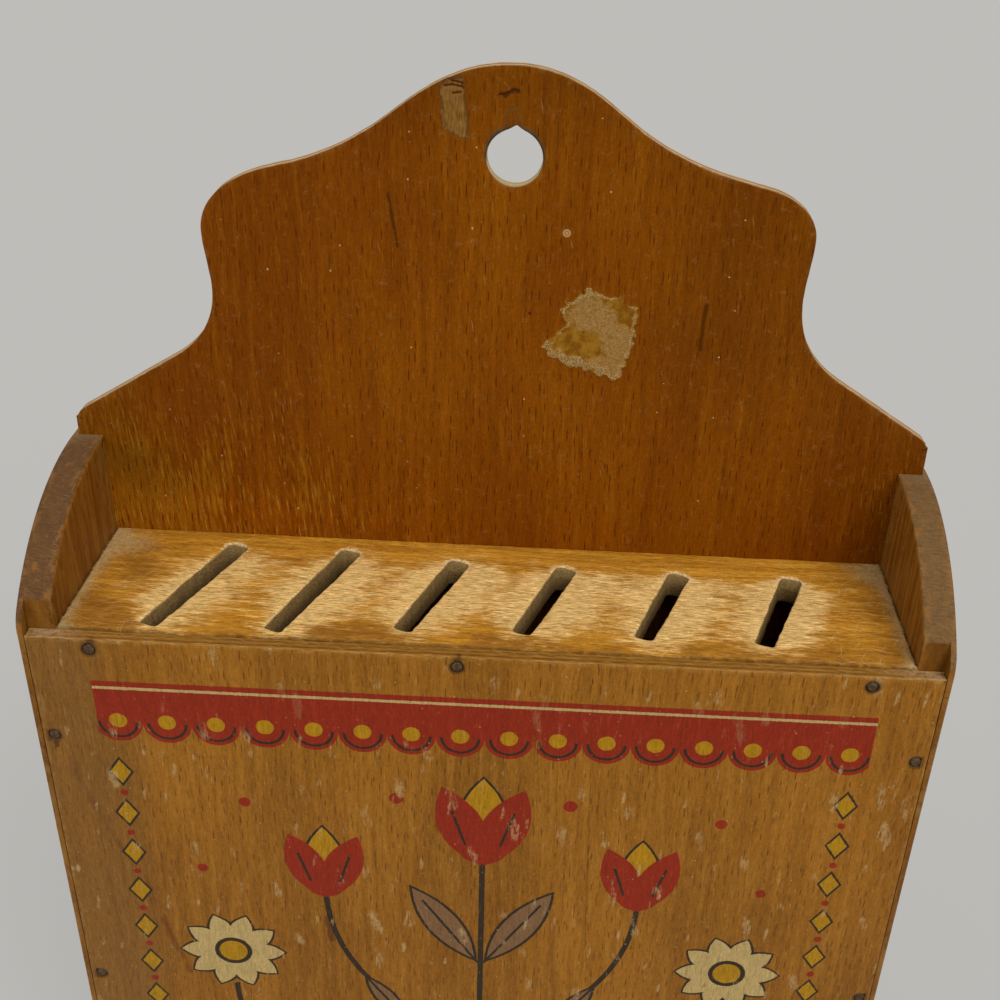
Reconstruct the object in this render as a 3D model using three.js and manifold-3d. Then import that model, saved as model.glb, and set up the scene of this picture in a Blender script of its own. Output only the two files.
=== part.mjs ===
// Wall knife holder: a shallow nailed wooden box under a scalloped backboard.
// Millimetres. X runs along the wall, Y into the wall, Z up.
// The origin is the middle of the underside.

import * as THREE from 'three';
import { mergeVertices } from 'three/addons/utils/BufferGeometryUtils.js';
import Module from 'manifold-3d';

// Box
const boxWidth = 240; // over the two side panels
const boxHeight = 240; // underside to the top of the slotted board
const innerDepth = 49.5; // backboard to front board
const sideThickness = 8.5;
const slottedThickness = 8.5;
const bottomThickness = 8.5;
const frontThickness = 4; // plywood
const backThickness = 4; // plywood

// Plywood boards in the rabbets of the side panels, front and back
const lipThickness = 1.6; // wood left outside each rabbet
const plywoodClearance = 0.3; // plywood edge to each lip
const frontDrop = 0.8; // front board's top below the slotted board's top

// Curved tops of the side panels
const sideRise = 30; // above the slotted board, at the backboard
const sideArcRadius = 67;
const sideNoseRadius = 10; // where the arc turns down into the front edge

// Backboard outline: widths from the middle of its head, heights above the slotted board's top.
// It was sawn by hand, so the pairs are its left and right sides.
const headOffset = 1.5; // the head and its hole sit a little to the right
const crestRise = 135.4;
const slopeHalfWidths = [29.3, 27.6]; // steepest place under the crest
const slopeRise = 123.7;
const neckHalfWidths = [60.5, 64.6]; // where the slope turns over into the shoulder
const neckRise = 108.2;
const shoulderHalfWidths = [80, 77.5]; // widest place of the shoulder
const shoulderRises = [90.6, 95.6];
const waistHalfWidths = [78.6, 76.4];
const waistRises = [74.5, 79.9];
const flareHalfWidths = [90.5, 89.2]; // where the waist has turned out into the flare
const flareRises = [55, 56.9];
const flareAngle = 32; // fall of the straight flare
const cornerRadius = 5; // round end of the flare
const slopeAngle = 38;
const neckAngle = 13;
const curvePull = 0.37; // share of a chord that a curve's handles take

// Hanging hole in the middle of the head
const hangingDiameter = 14;
const hangingRise = 113.1; // its centre above the slotted board's top

// Slots for the blades, from left to right
const slotLengths = [43, 43, 36.5, 34.5, 34, 34.5];
const slotCentres = [-81.6, -49.2, -16.8, 14.1, 46.3, 78.4]; // marked out by hand
const slotWidth = 5.8;
const slotCornerRadius = 1.4;
const slotLean = 20; // degrees off square to the wall
const slotSetback = 26.4; // middle of each slot, in front of the backboard

// Nails
const nailShankRadius = 0.8;
const nailHeadRadius = 1.5;
const nailHeadThickness = 0.8;
const nailPoint = 2.4; // length of the pointed end
const nailClearance = 0.3; // hole wall to nail
const plywoodNailLength = 16;
const sideNailLength = 22;
const frontTopEndInsets = [17.7, 20.3]; // end nails from the box's ends
const frontTopMiddle = -7.5;
const columnInset = 4.6; // nails into the side panels from the outer faces, front and back
const frontColumnDrops = [33.3, 28.6]; // first nail below the top, left and right
const frontColumnRises = [19.6, 24.2]; // last nail above the underside, left and right
const frontColumnCount = 3;
const frontBottomEndInset = 20;
const backRowEndInset = 20;
const backRowMiddle = 3; // between the third and the fourth slot
const backColumnDrop = 15; // first nail below the side panel's top
const backColumnRise = 18;
const backColumnCount = 4;
const sideNailSpacing = 16; // front to back

const slottedTop = boxHeight;
const slottedMiddle = slottedTop - slottedThickness / 2;
const bottomMiddle = bottomThickness / 2;
const halfWidth = boxWidth / 2;
const innerHalfWidth = halfWidth - sideThickness;
const lipHalfWidth = halfWidth - lipThickness;
const plywoodHalfWidth = lipHalfWidth - plywoodClearance;
const depth = frontThickness + innerDepth + backThickness;
const frontFace = -depth / 2;
const frontInner = frontFace + frontThickness;
const backFace = depth / 2;
const backInner = backFace - backThickness;

const wasm = await Module();
wasm.setup();

const radians = THREE.MathUtils.degToRad;

const beech = { color: 0xb5692a, roughness: 0.5, metalness: 0 };
const paleBeech = { color: 0xc98b3f, roughness: 0.6, metalness: 0 };
const varnishedPlywood = { color: 0xa35a1c, roughness: 0.35, metalness: 0 };
const darkSteel = { color: 0x3b3733, roughness: 0.6, metalness: 0.8 };

function toSolid(geometry) {
  const bare = geometry.clone();
  bare.deleteAttribute('normal');
  bare.deleteAttribute('uv');
  const merged = mergeVertices(bare, 1e-4);
  const corners = merged.index.array;
  const kept = [];
  for (let i = 0; i < corners.length; i += 3) {
    const [a, b, c] = corners.slice(i, i + 3);
    if (a !== b && b !== c && c !== a) {
      kept.push(a, b, c); // an outline that closes on itself leaves an empty triangle
    }
  }
  const vertProperties = new Float32Array(merged.attributes.position.array);
  const triVerts = new Uint32Array(kept);
  return new wasm.Manifold(new wasm.Mesh({ numProp: 3, vertProperties, triVerts }));
}

function toGeometry(solid) {
  const mesh = solid.getMesh();
  const geometry = new THREE.BufferGeometry();
  geometry.setAttribute('position', new THREE.BufferAttribute(mesh.vertProperties, 3));
  geometry.setIndex(new THREE.BufferAttribute(mesh.triVerts, 1));
  geometry.computeVertexNormals();
  return geometry;
}

function box(from, to) {
  const low = new THREE.Vector3(...from);
  const high = new THREE.Vector3(...to);
  const size = high.clone().sub(low);
  const middle = low.clone().add(high).multiplyScalar(0.5);
  const geometry = new THREE.BoxGeometry(size.x, size.y, size.z);
  geometry.translate(middle.x, middle.y, middle.z);
  return toSolid(geometry);
}

function extrude(shape, thickness, curveSegments) {
  const settings = { depth: thickness, bevelEnabled: false, curveSegments };
  return new THREE.ExtrudeGeometry(shape, settings);
}

// A curve from one station to the next, leaving and arriving at the stations' headings.
// A heading is in degrees, 0 outwards along X and -90 straight down.
function curveTo(shape, from, to, side) {
  const chord = Math.atan2(to.up - from.up, to.out - from.out);
  const leave = radians(from.heading);
  const arrive = radians(to.heading);
  const bend = Math.abs(Math.sin(chord - leave)) + Math.abs(Math.sin(chord - arrive));
  if (bend < 1e-6) {
    shape.lineTo(side * to.out, to.up);
    return;
  }
  const pull = curvePull * Math.hypot(to.out - from.out, to.up - from.up);
  shape.bezierCurveTo(
    side * (from.out + pull * Math.cos(leave)),
    from.up + pull * Math.sin(leave),
    side * (to.out - pull * Math.cos(arrive)),
    to.up - pull * Math.sin(arrive),
    side * to.out,
    to.up,
  );
}

// Stations of one half of the backboard's outline, from the crest down to the straight edge
function backboardStations(half) {
  const edge = plywoodHalfWidth + (half === 0 ? headOffset : -headOffset);
  const fall = Math.tan(radians(flareAngle));
  const turn = radians(90 - flareAngle);
  const trim = cornerRadius * Math.tan(turn / 2);
  const tipRise = flareRises[half] - (edge - flareHalfWidths[half]) * fall;
  return [
    { out: 0, up: slottedTop + crestRise, heading: 0 },
    { out: slopeHalfWidths[half], up: slottedTop + slopeRise, heading: -slopeAngle },
    { out: neckHalfWidths[half], up: slottedTop + neckRise, heading: -neckAngle },
    { out: shoulderHalfWidths[half], up: slottedTop + shoulderRises[half], heading: -90 },
    { out: waistHalfWidths[half], up: slottedTop + waistRises[half], heading: -90 },
    { out: flareHalfWidths[half], up: slottedTop + flareRises[half], heading: -flareAngle },
    {
      out: edge - trim * Math.cos(radians(flareAngle)),
      up: slottedTop + tipRise + trim * Math.sin(radians(flareAngle)),
      heading: -flareAngle,
    },
    { out: edge, up: slottedTop + tipRise - trim, heading: -90 },
  ];
}

// Drawn about the middle of its head
function backboardShape() {
  const left = backboardStations(0);
  const right = backboardStations(1);
  const shape = new THREE.Shape();
  shape.moveTo(0, right[0].up);
  for (let i = 1; i < right.length; i += 1) {
    curveTo(shape, right[i - 1], right[i], 1);
  }
  shape.lineTo(right.at(-1).out, 0);
  shape.lineTo(-left.at(-1).out, 0);
  shape.lineTo(-left.at(-1).out, left.at(-1).up);
  for (let i = left.length - 1; i > 0; i -= 1) {
    const from = { ...left[i], heading: left[i].heading + 180 };
    const to = { ...left[i - 1], heading: left[i - 1].heading + 180 };
    curveTo(shape, from, to, -1);
  }
  const hanging = new THREE.Path();
  hanging.absarc(0, slottedTop + hangingRise, hangingDiameter / 2, 0, 2 * Math.PI, false);
  shape.holes.push(hanging);
  return shape;
}

function backboard() {
  const geometry = extrude(backboardShape(), backThickness, 10);
  geometry.rotateX(Math.PI / 2);
  geometry.translate(headOffset, backFace, 0);
  return toSolid(geometry);
}

// Side panel seen along X: level behind the backboard's face, then a long arc falls from it
// and a tight one turns into the front edge
function sideShape() {
  const top = slottedTop + sideRise;
  const arcHeight = top - sideArcRadius;
  const noseAlong = frontFace + sideNoseRadius;
  const noseReach = sideArcRadius - sideNoseRadius;
  const noseHeight = arcHeight + Math.sqrt(noseReach ** 2 - (backInner - noseAlong) ** 2);
  const meeting = Math.atan2(noseHeight - arcHeight, noseAlong - backInner);
  const shape = new THREE.Shape();
  shape.moveTo(backFace, 0);
  shape.lineTo(backFace, top);
  shape.lineTo(backInner, top);
  shape.absarc(backInner, arcHeight, sideArcRadius, Math.PI / 2, meeting, false);
  shape.absarc(noseAlong, noseHeight, sideNoseRadius, meeting, Math.PI, false);
  shape.lineTo(frontFace, 0);
  return shape;
}

// The plywood's seat along one edge of a side panel, open past the panel's ends and inner face
function rabbet(side, from, to) {
  const overrun = sideThickness;
  const inside = side * (innerHalfWidth - overrun);
  const lip = side * lipHalfWidth;
  return box(
    [Math.min(inside, lip), from, -overrun],
    [Math.max(inside, lip), to, slottedTop + sideRise + overrun],
  );
}

function sidePanel(side) {
  const geometry = extrude(sideShape(), sideThickness, 10);
  geometry.rotateZ(Math.PI / 2);
  geometry.rotateY(Math.PI / 2);
  geometry.translate(side > 0 ? innerHalfWidth : -halfWidth, 0, 0);
  const frontRabbet = rabbet(side, frontFace - sideThickness, frontInner);
  const backRabbet = rabbet(side, backInner, backFace + sideThickness);
  return toSolid(geometry).subtract(frontRabbet).subtract(backRabbet);
}

// Square-ended slot with eased corners
function slot(length) {
  const radius = slotCornerRadius;
  const across = slotWidth / 2 - radius;
  const along = length / 2 - radius;
  const path = new THREE.Shape();
  path.absarc(across, along, radius, 0, Math.PI / 2, false);
  path.absarc(-across, along, radius, Math.PI / 2, Math.PI, false);
  path.absarc(-across, -along, radius, Math.PI, 1.5 * Math.PI, false);
  path.absarc(across, -along, radius, 1.5 * Math.PI, 2 * Math.PI, false);
  const geometry = extrude(path, 3 * slottedThickness, 4);
  geometry.rotateZ(-radians(slotLean));
  return geometry;
}

function slottedBoard() {
  let solid = box(
    [-innerHalfWidth, frontInner, slottedTop - slottedThickness],
    [innerHalfWidth, backInner, slottedTop],
  );
  slotLengths.forEach((length, index) => {
    const geometry = slot(length);
    const bottom = slottedTop - 2 * slottedThickness;
    geometry.translate(slotCentres[index], backInner - slotSetback, bottom);
    solid = solid.subtract(toSolid(geometry));
  });
  return solid;
}

function bottomBoard() {
  return box([-innerHalfWidth, frontInner, 0], [innerHalfWidth, backInner, bottomThickness]);
}

function frontBoard() {
  return box(
    [-plywoodHalfWidth, frontFace, 0],
    [plywoodHalfWidth, frontInner, slottedTop - frontDrop],
  );
}

// Nails stand on the head's outer face and point along +Z, before they are laid in place
function nailGeometry(length) {
  const profile = [
    new THREE.Vector2(0, 0),
    new THREE.Vector2(nailHeadRadius, 0),
    new THREE.Vector2(nailHeadRadius, nailHeadThickness),
    new THREE.Vector2(nailShankRadius, nailHeadThickness),
    new THREE.Vector2(nailShankRadius, length - nailPoint),
    new THREE.Vector2(0, length),
  ];
  const geometry = new THREE.LatheGeometry(profile, 12);
  geometry.rotateX(Math.PI / 2);
  return geometry;
}

// Drilled hole with a flat recess that the head sits in, open past the board's face
function nailHoleGeometry(length) {
  const shank = nailShankRadius + nailClearance;
  const head = nailHeadRadius + nailClearance;
  const profile = [
    new THREE.Vector2(0, -nailHeadThickness),
    new THREE.Vector2(head, -nailHeadThickness),
    new THREE.Vector2(head, nailHeadThickness),
    new THREE.Vector2(shank, nailHeadThickness),
    new THREE.Vector2(shank, length - nailPoint),
    new THREE.Vector2(0, length + nailClearance),
  ];
  const geometry = new THREE.LatheGeometry(profile, 12);
  geometry.rotateX(Math.PI / 2);
  return geometry;
}

function layAlong(geometry, nail) {
  const turn = new THREE.Quaternion();
  turn.setFromUnitVectors(new THREE.Vector3(0, 0, 1), nail.into);
  geometry.applyQuaternion(turn);
  geometry.translate(nail.head.x, nail.head.y, nail.head.z);
  return geometry;
}

function spread(first, last, count) {
  const step = (last - first) / (count - 1);
  return Array.from({ length: count }, (unused, index) => first + index * step);
}

function nailRow(name, heads, into, length) {
  return heads.map((head, index) => ({
    name: `${name}_${index + 1}`,
    head: new THREE.Vector3(...head),
    into: new THREE.Vector3(...into),
    length,
  }));
}

function frontNails() {
  const inwards = [0, 1, 0];
  const columnAcross = halfWidth - columnInset;
  const topRow = [-halfWidth + frontTopEndInsets[0], frontTopMiddle, halfWidth - frontTopEndInsets[1]];
  const bottomEnd = halfWidth - frontBottomEndInset;
  const bottomRow = [-bottomEnd, 0, bottomEnd];
  const columns = [-1, 1].flatMap((side, index) => {
    const first = slottedTop - frontColumnDrops[index];
    const heights = spread(first, frontColumnRises[index], frontColumnCount);
    const heads = heights.map((height) => [side * columnAcross, frontFace, height]);
    const name = side < 0 ? 'front_nail_left' : 'front_nail_right';
    return nailRow(name, heads, inwards, plywoodNailLength);
  });
  const topHeads = topRow.map((across) => [across, frontFace, slottedMiddle]);
  const bottomHeads = bottomRow.map((across) => [across, frontFace, bottomMiddle]);
  return [
    ...nailRow('front_nail_top', topHeads, inwards, plywoodNailLength),
    ...columns,
    ...nailRow('front_nail_bottom', bottomHeads, inwards, plywoodNailLength),
  ];
}

function backNails() {
  const forwards = [0, -1, 0];
  const rowEnd = halfWidth - backRowEndInset;
  const row = [-rowEnd, backRowMiddle, rowEnd];
  const columnAcross = halfWidth - columnInset;
  const heights = spread(slottedTop + sideRise - backColumnDrop, backColumnRise, backColumnCount);
  const columns = [-1, 1].flatMap((side) => {
    const heads = heights.map((height) => [side * columnAcross, backFace, height]);
    const name = side < 0 ? 'back_nail_left' : 'back_nail_right';
    return nailRow(name, heads, forwards, plywoodNailLength);
  });
  const topHeads = row.map((across) => [across, backFace, slottedMiddle]);
  const bottomHeads = row.map((across) => [across, backFace, bottomMiddle]);
  return [
    ...nailRow('back_nail_top', topHeads, forwards, plywoodNailLength),
    ...columns,
    ...nailRow('back_nail_bottom', bottomHeads, forwards, plywoodNailLength),
  ];
}

function sideNails() {
  return [-1, 1].flatMap((side) => {
    const heads = [slottedMiddle, bottomMiddle].flatMap((height) => [
      [side * halfWidth, -sideNailSpacing / 2, height],
      [side * halfWidth, sideNailSpacing / 2, height],
    ]);
    const name = side < 0 ? 'side_nail_left' : 'side_nail_right';
    return nailRow(name, heads, [-side, 0, 0], sideNailLength);
  });
}

function piece(name, geometry, finish) {
  const mesh = new THREE.Mesh(geometry, new THREE.MeshStandardMaterial(finish));
  mesh.name = name;
  return mesh;
}

const nails = [...frontNails(), ...backNails(), ...sideNails()];
const drillings = nails.map((nail) => toSolid(layAlong(nailHoleGeometry(nail.length), nail)));

function drilled(solid) {
  return drillings.reduce((rest, drilling) => rest.subtract(drilling), solid);
}

const knifeHolder = new THREE.Group();
knifeHolder.name = 'wall_knife_holder';

knifeHolder.add(piece('backboard', toGeometry(drilled(backboard())), varnishedPlywood));
knifeHolder.add(piece('side_panel_left', toGeometry(drilled(sidePanel(-1))), beech));
knifeHolder.add(piece('side_panel_right', toGeometry(drilled(sidePanel(1))), beech));
knifeHolder.add(piece('slotted_board', toGeometry(drilled(slottedBoard())), paleBeech));
knifeHolder.add(piece('bottom_board', toGeometry(drilled(bottomBoard())), beech));
knifeHolder.add(piece('front_board', toGeometry(drilled(frontBoard())), beech));

nails.forEach((nail) => {
  knifeHolder.add(piece(nail.name, layAlong(nailGeometry(nail.length), nail), darkSteel));
});

export default knifeHolder;
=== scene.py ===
import math

import bmesh
import bpy
import numpy as np
from mathutils import Matrix, Vector
from mathutils.geometry import delaunay_2d_cdt


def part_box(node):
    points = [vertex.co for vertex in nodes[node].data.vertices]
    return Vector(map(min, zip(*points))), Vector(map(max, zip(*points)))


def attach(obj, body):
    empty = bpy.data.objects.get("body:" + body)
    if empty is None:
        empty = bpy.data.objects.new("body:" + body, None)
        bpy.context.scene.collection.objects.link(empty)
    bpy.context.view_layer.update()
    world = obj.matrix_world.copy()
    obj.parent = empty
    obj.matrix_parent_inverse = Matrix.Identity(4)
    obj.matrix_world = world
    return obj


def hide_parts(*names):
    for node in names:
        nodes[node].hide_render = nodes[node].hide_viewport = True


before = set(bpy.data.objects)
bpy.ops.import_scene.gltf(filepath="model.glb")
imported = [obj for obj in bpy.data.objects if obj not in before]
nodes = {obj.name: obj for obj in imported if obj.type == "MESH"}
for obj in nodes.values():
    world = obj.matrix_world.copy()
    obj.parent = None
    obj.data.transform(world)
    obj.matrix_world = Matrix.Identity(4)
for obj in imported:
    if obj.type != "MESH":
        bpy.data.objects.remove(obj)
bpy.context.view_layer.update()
mm = 0.001

# Every board is worked out in millimetres on its own plane: u and v run over its face,
# depth runs into the wood from the face that is looked at
facings = {
    "front": (Vector((1, 0, 0)), Vector((0, 0, 1)), Vector((0, -1, 0))),
    "back": (Vector((-1, 0, 0)), Vector((0, 0, 1)), Vector((0, 1, 0))),
    "right": (Vector((0, 1, 0)), Vector((0, 0, 1)), Vector((1, 0, 0))),
    "left": (Vector((0, -1, 0)), Vector((0, 0, 1)), Vector((-1, 0, 0))),
    "top": (Vector((1, 0, 0)), Vector((0, 1, 0)), Vector((0, 0, 1))),
}


# How far a node of the frame reaches along x, y or z, in millimetres
def reachOf(nodeName, axis):
    return round(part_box(nodeName)[1]["xyz".index(axis)] / mm, 2)


insideX = reachOf("slotted_board", "x")  # half the width between the side panels
insideY = reachOf("slotted_board", "y")  # half the depth between the plywood boards
outsideX = reachOf("side_panel_right", "x")
outsideY = reachOf("backboard", "y")
slottedTop = reachOf("slotted_board", "z")
frontTop = reachOf("front_board", "z")
plywood = outsideY - insideY
solidWood = outsideX - insideX


def addObject(name, data):
    made = bpy.data.objects.new(name, data)
    bpy.context.scene.collection.objects.link(made)
    return made


# Camera, light and floor

cameraLook = {
    "place": (15.4, -291.1, 437.6),  # millimetres
    "turn": -0.3,  # degrees, round the upright axis
    "tilt": 60.14,  # 90 would look level
    "roll": 2.94,
    "lens": 45.91,
    "shiftAcross": -0.06,
}
studio = {
    "skyColour": (1.0, 0.985, 0.96),
    "skyStrength": 0.62,
    "keyStrength": 1.75,
    "keySoftness": 38,  # degrees
    "keyFrom": (0.45, -0.75, 0.95),
    "fillStrength": 0.5,
    "fillFrom": (-0.9, -0.6, 0.5),
    "floorColour": (0.495, 0.49, 0.47),
    "floorEvenness": 0.55,  # share of the floor's picture that light and shadow don't change
    "floorSize": 14.0,
}


def addCamera():
    data = bpy.data.cameras.new("camera")
    data.lens = cameraLook["lens"]
    data.sensor_width = 36
    data.shift_x = cameraLook["shiftAcross"]
    data.clip_start = 0.01
    data.clip_end = 50
    camera = addObject("camera", data)
    place = Matrix.Translation(Vector(cameraLook["place"]) * mm)
    for angle, axis in (("turn", "Z"), ("tilt", "X"), ("roll", "Z")):
        place = place @ Matrix.Rotation(math.radians(cameraLook[angle]), 4, axis)
    camera.matrix_world = place
    bpy.context.scene.camera = camera


def addSun(name, towards, strength):
    data = bpy.data.lights.new(name, "SUN")
    data.energy = strength
    data.angle = math.radians(studio["keySoftness"])
    addObject(name, data).rotation_euler = Vector(towards).to_track_quat("Z", "Y").to_euler()


def addStudio():
    world = bpy.data.worlds.new("studio")
    world.use_nodes = True
    sky = world.node_tree.nodes["Background"]
    sky.inputs["Color"].default_value = (*studio["skyColour"], 1)
    sky.inputs["Strength"].default_value = studio["skyStrength"]
    bpy.context.scene.world = world
    addSun("keyLight", studio["keyFrom"], studio["keyStrength"])
    addSun("fillLight", studio["fillFrom"], studio["fillStrength"])
    half = studio["floorSize"] / 2
    mesh = bpy.data.meshes.new("floor")
    corners = [(-half, -half, 0), (half, -half, 0), (half, half, 0), (-half, half, 0)]
    mesh.from_pydata(corners, [], [(0, 1, 2, 3)])
    floor = addObject("floor", mesh)
    mesh.materials.append(floorFinish())
    bpy.context.scene.view_settings.view_transform = "Standard"


# Node maths: a wire is an output socket that can stand in a Python expression

def operator(operation, turned=False):
    def combined(self, other):
        values = (other, self) if turned else (self, other)
        return self.maker.maths(operation, *values)

    return combined


class Wire:
    def __init__(self, maker, socket):
        self.maker = maker
        self.socket = socket

    __add__ = operator("ADD")
    __radd__ = operator("ADD", True)
    __sub__ = operator("SUBTRACT")
    __rsub__ = operator("SUBTRACT", True)
    __mul__ = operator("MULTIPLY")
    __rmul__ = operator("MULTIPLY", True)
    __truediv__ = operator("DIVIDE")
    __pow__ = operator("POWER")
    smaller = operator("MINIMUM")
    larger = operator("MAXIMUM")

    def __neg__(self):
        return self * -1

    def __abs__(self):
        return self.maker.maths("ABSOLUTE", self)

    def root(self):
        return self.maker.maths("SQRT", self)

    # 0 below low and 1 above high, smooth between them; low may be the larger
    def ramp(self, low, high):
        settings = {"interpolation_type": "SMOOTHSTEP"}
        return self.maker.node("ShaderNodeMapRange", settings, {0: self, 1: low, 2: high, 3: 0.0, 4: 1.0})


class NodeMaker:
    def __init__(self, tree):
        self.tree = tree

    def join(self, socket, value):
        if isinstance(value, Wire):
            self.tree.links.new(value.socket, socket)
        elif isinstance(value, tuple) and len(value) < len(socket.default_value):
            socket.default_value = (*value, 1)
        else:
            socket.default_value = value

    def node(self, kind, settings=None, sockets=None, output=0):
        made = self.tree.nodes.new(kind)
        for name, value in (settings or {}).items():
            setattr(made, name, value)
        for name, value in (sockets or {}).items():
            self.join(made.inputs[name], value)
        return Wire(self, made.outputs[output])

    def maths(self, operation, *values):
        return self.node("ShaderNodeMath", {"operation": operation}, dict(enumerate(values)))

    def vector(self, operation, first, second):
        return self.node("ShaderNodeVectorMath", {"operation": operation}, {0: first, 1: second})

    def scaled(self, vector, factor):
        return self.node("ShaderNodeVectorMath", {"operation": "SCALE"}, {0: vector, "Scale": factor})

    def combine(self, x, y, z):
        return self.node("ShaderNodeCombineXYZ", None, {0: x, 1: y, 2: z})

    def split(self, vector):
        made = self.node("ShaderNodeSeparateXYZ", None, {0: vector})
        return [Wire(self, output) for output in made.socket.node.outputs]


class Finish(NodeMaker):
    sockets = {
        "colour": "Base Color",
        "roughness": "Roughness",
        "metallic": "Metallic",
        "normal": "Normal",
        "gloss": "Specular IOR Level",
        "glossTint": "Specular Tint",
    }

    def __init__(self, name):
        self.material = bpy.data.materials.new(name)
        self.material.use_nodes = True
        super().__init__(self.material.node_tree)
        self.tree.nodes.clear()
        self.output = self.tree.nodes.new("ShaderNodeOutputMaterial")
        self.shader = self.tree.nodes.new("ShaderNodeBsdfPrincipled")
        self.tree.links.new(self.shader.outputs[0], self.output.inputs["Surface"])

    # Object coordinates in millimetres, kept together and handed back one by one
    def place(self):
        inMetres = self.node("ShaderNodeTexCoord", None, None, 3)
        self.spot = self.vector("MULTIPLY", inMetres, (1 / mm,) * 3)
        return self.split(self.spot)

    # How much each axis faces the surface, 0 to 1
    def facing(self):
        return [abs(part) for part in self.split(self.node("ShaderNodeNewGeometry", None, None, 3))]

    def mark(self, name):
        return self.node("ShaderNodeAttribute", {"attribute_name": name}, None, 2)

    def mix(self, share, first, second):
        return self.node("ShaderNodeMix", {"data_type": "RGBA"}, {0: share, 6: first, 7: second}, 2)

    # Coats over a colour, one after another: each has the share that it covers and its own colour
    def layers(self, colour, *coats):
        for share, coat in coats:
            colour = self.mix(share, colour, coat)
        return colour

    # Cloudy noise, 0 to 1 about 0.5, whose lumps measure size millimetres
    def noise(self, size, shift, detail=2.0, roughness=0.6, spot=None):
        stretched = self.vector("DIVIDE", spot or self.spot, size if isinstance(size, tuple) else (size,) * 3)
        moved = self.vector("ADD", stretched, (shift, shift * 1.7, shift * 2.3))
        sockets = {"Vector": moved, "Scale": 1.0, "Detail": detail, "Roughness": roughness}
        return self.node("ShaderNodeTexNoise", None, sockets)

    # The same about 0, up to half the amount either way
    def sway(self, amount, *noise, **more):
        return (self.noise(*noise, **more) - 0.5) * amount

    # Short strokes scattered over a plane: one in each cell, 1 inside and 0 outside
    def strokes(self, across, along, cell, stroke, shift, share):
        flat = self.combine(across / cell[0] + shift, along / cell[1] + shift * 1.3, 0.0)
        settings = {"voronoi_dimensions": "2D", "feature": "F1"}
        middle = self.node("ShaderNodeTexVoronoi", settings, {"Vector": flat, "Scale": 1.0}, 2)
        chance, lengthen, strengthen = self.split(Wire(self, middle.socket.node.outputs[1]))
        offAcross, offAlong = self.split(self.vector("SUBTRACT", flat, middle))[:2]
        length = (lengthen * 0.8 + 0.6) * (stroke[1] / cell[1])
        away = ((offAcross / (stroke[0] / cell[0])) ** 2 + (offAlong / length) ** 2).root()
        return away.ramp(1.0, 0.35) * chance.ramp(share + 0.02, share - 0.02) * (strengthen * 0.6 + 0.4)

    # Fine strokes turned some radians from x towards y
    def hairs(self, x, y, turn, sway, cell, stroke, shift):
        across = x * math.sin(turn) - y * math.cos(turn)
        return self.strokes(across + sway, x * math.cos(turn) + y * math.sin(turn), cell, stroke, shift, 0.6)

    # Distances to drawn shapes in millimetres, below 0 inside

    def disc(self, x, z, radius):
        return (x ** 2 + z ** 2).root() - radius

    def leaf(self, x, z, base, tip, width):
        run = (tip[0] - base[0], tip[1] - base[1])
        length = math.hypot(*run)
        along = ((x - base[0]) * (run[0] / length) + (z - base[1]) * (run[1] / length)) / (length / 2) - 1
        across = (x - base[0]) * (run[1] / length) - (z - base[1]) * (run[0] / length)
        return abs(across) - (1 - along ** 2) * (width / 2)

    def stroke(self, x, z, start, end, width=0.0):
        run = (end[0] - start[0], end[1] - start[1])
        square = run[0] ** 2 + run[1] ** 2
        share = ((x - start[0]) * (run[0] / square) + (z - start[1]) * (run[1] / square)).larger(0).smaller(1)
        return self.disc(x - start[0] - share * run[0], z - start[1] - share * run[1], width / 2)

    def put(self, **values):
        for name, value in values.items():
            self.join(self.shader.inputs[self.sockets[name]], value)

    def dress(self, height, strength, distance, **values):
        bump = {"Strength": strength, "Distance": distance * mm, "Height": height}
        self.put(normal=self.node("ShaderNodeBump", None, bump), **values)
        return self.material


class Recipe(NodeMaker):
    def __init__(self, name, inputs):
        super().__init__(bpy.data.node_groups.new(name, "GeometryNodeTree"))
        face = self.tree.interface
        face.new_socket("Geometry", in_out="OUTPUT", socket_type="NodeSocketGeometry")
        face.new_socket("Geometry", in_out="INPUT", socket_type="NodeSocketGeometry")
        self.identifiers = {}
        for label, kind in inputs.items():
            made = face.new_socket(label, in_out="INPUT", socket_type="NodeSocket" + kind)
            self.identifiers[label] = made.identifier
        start = self.tree.nodes.new("NodeGroupInput")
        self.inputs = {socket.name: Wire(self, socket) for socket in start.outputs if socket.name}

    # One of several values, picked by a whole number
    def choose(self, index, values):
        made = self.tree.nodes.new("GeometryNodeIndexSwitch")
        made.data_type = "FLOAT"
        for extra in range(len(values) - 2):
            made.index_switch_items.new()
        self.join(made.inputs["Index"], index)
        for number, value in enumerate(values):
            self.join(made.inputs[str(number)], value)
        return Wire(self, made.outputs[0])

    def finish(self, geometry):
        self.join(self.tree.nodes.new("NodeGroupOutput").inputs[0], geometry)

    # A plain mesh made by this recipe from a starting mesh
    def apply(self, name, mesh, values):
        piece = addObject(name, mesh)
        modifier = piece.modifiers.new(name, "NODES")
        modifier.node_group = self.tree
        for label, value in values.items():
            modifier[self.identifiers[label]] = value
        made = piece.evaluated_get(bpy.context.evaluated_depsgraph_get())
        result = bpy.data.meshes.new_from_object(made)
        piece.modifiers.clear()
        piece.data = result
        return piece


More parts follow.
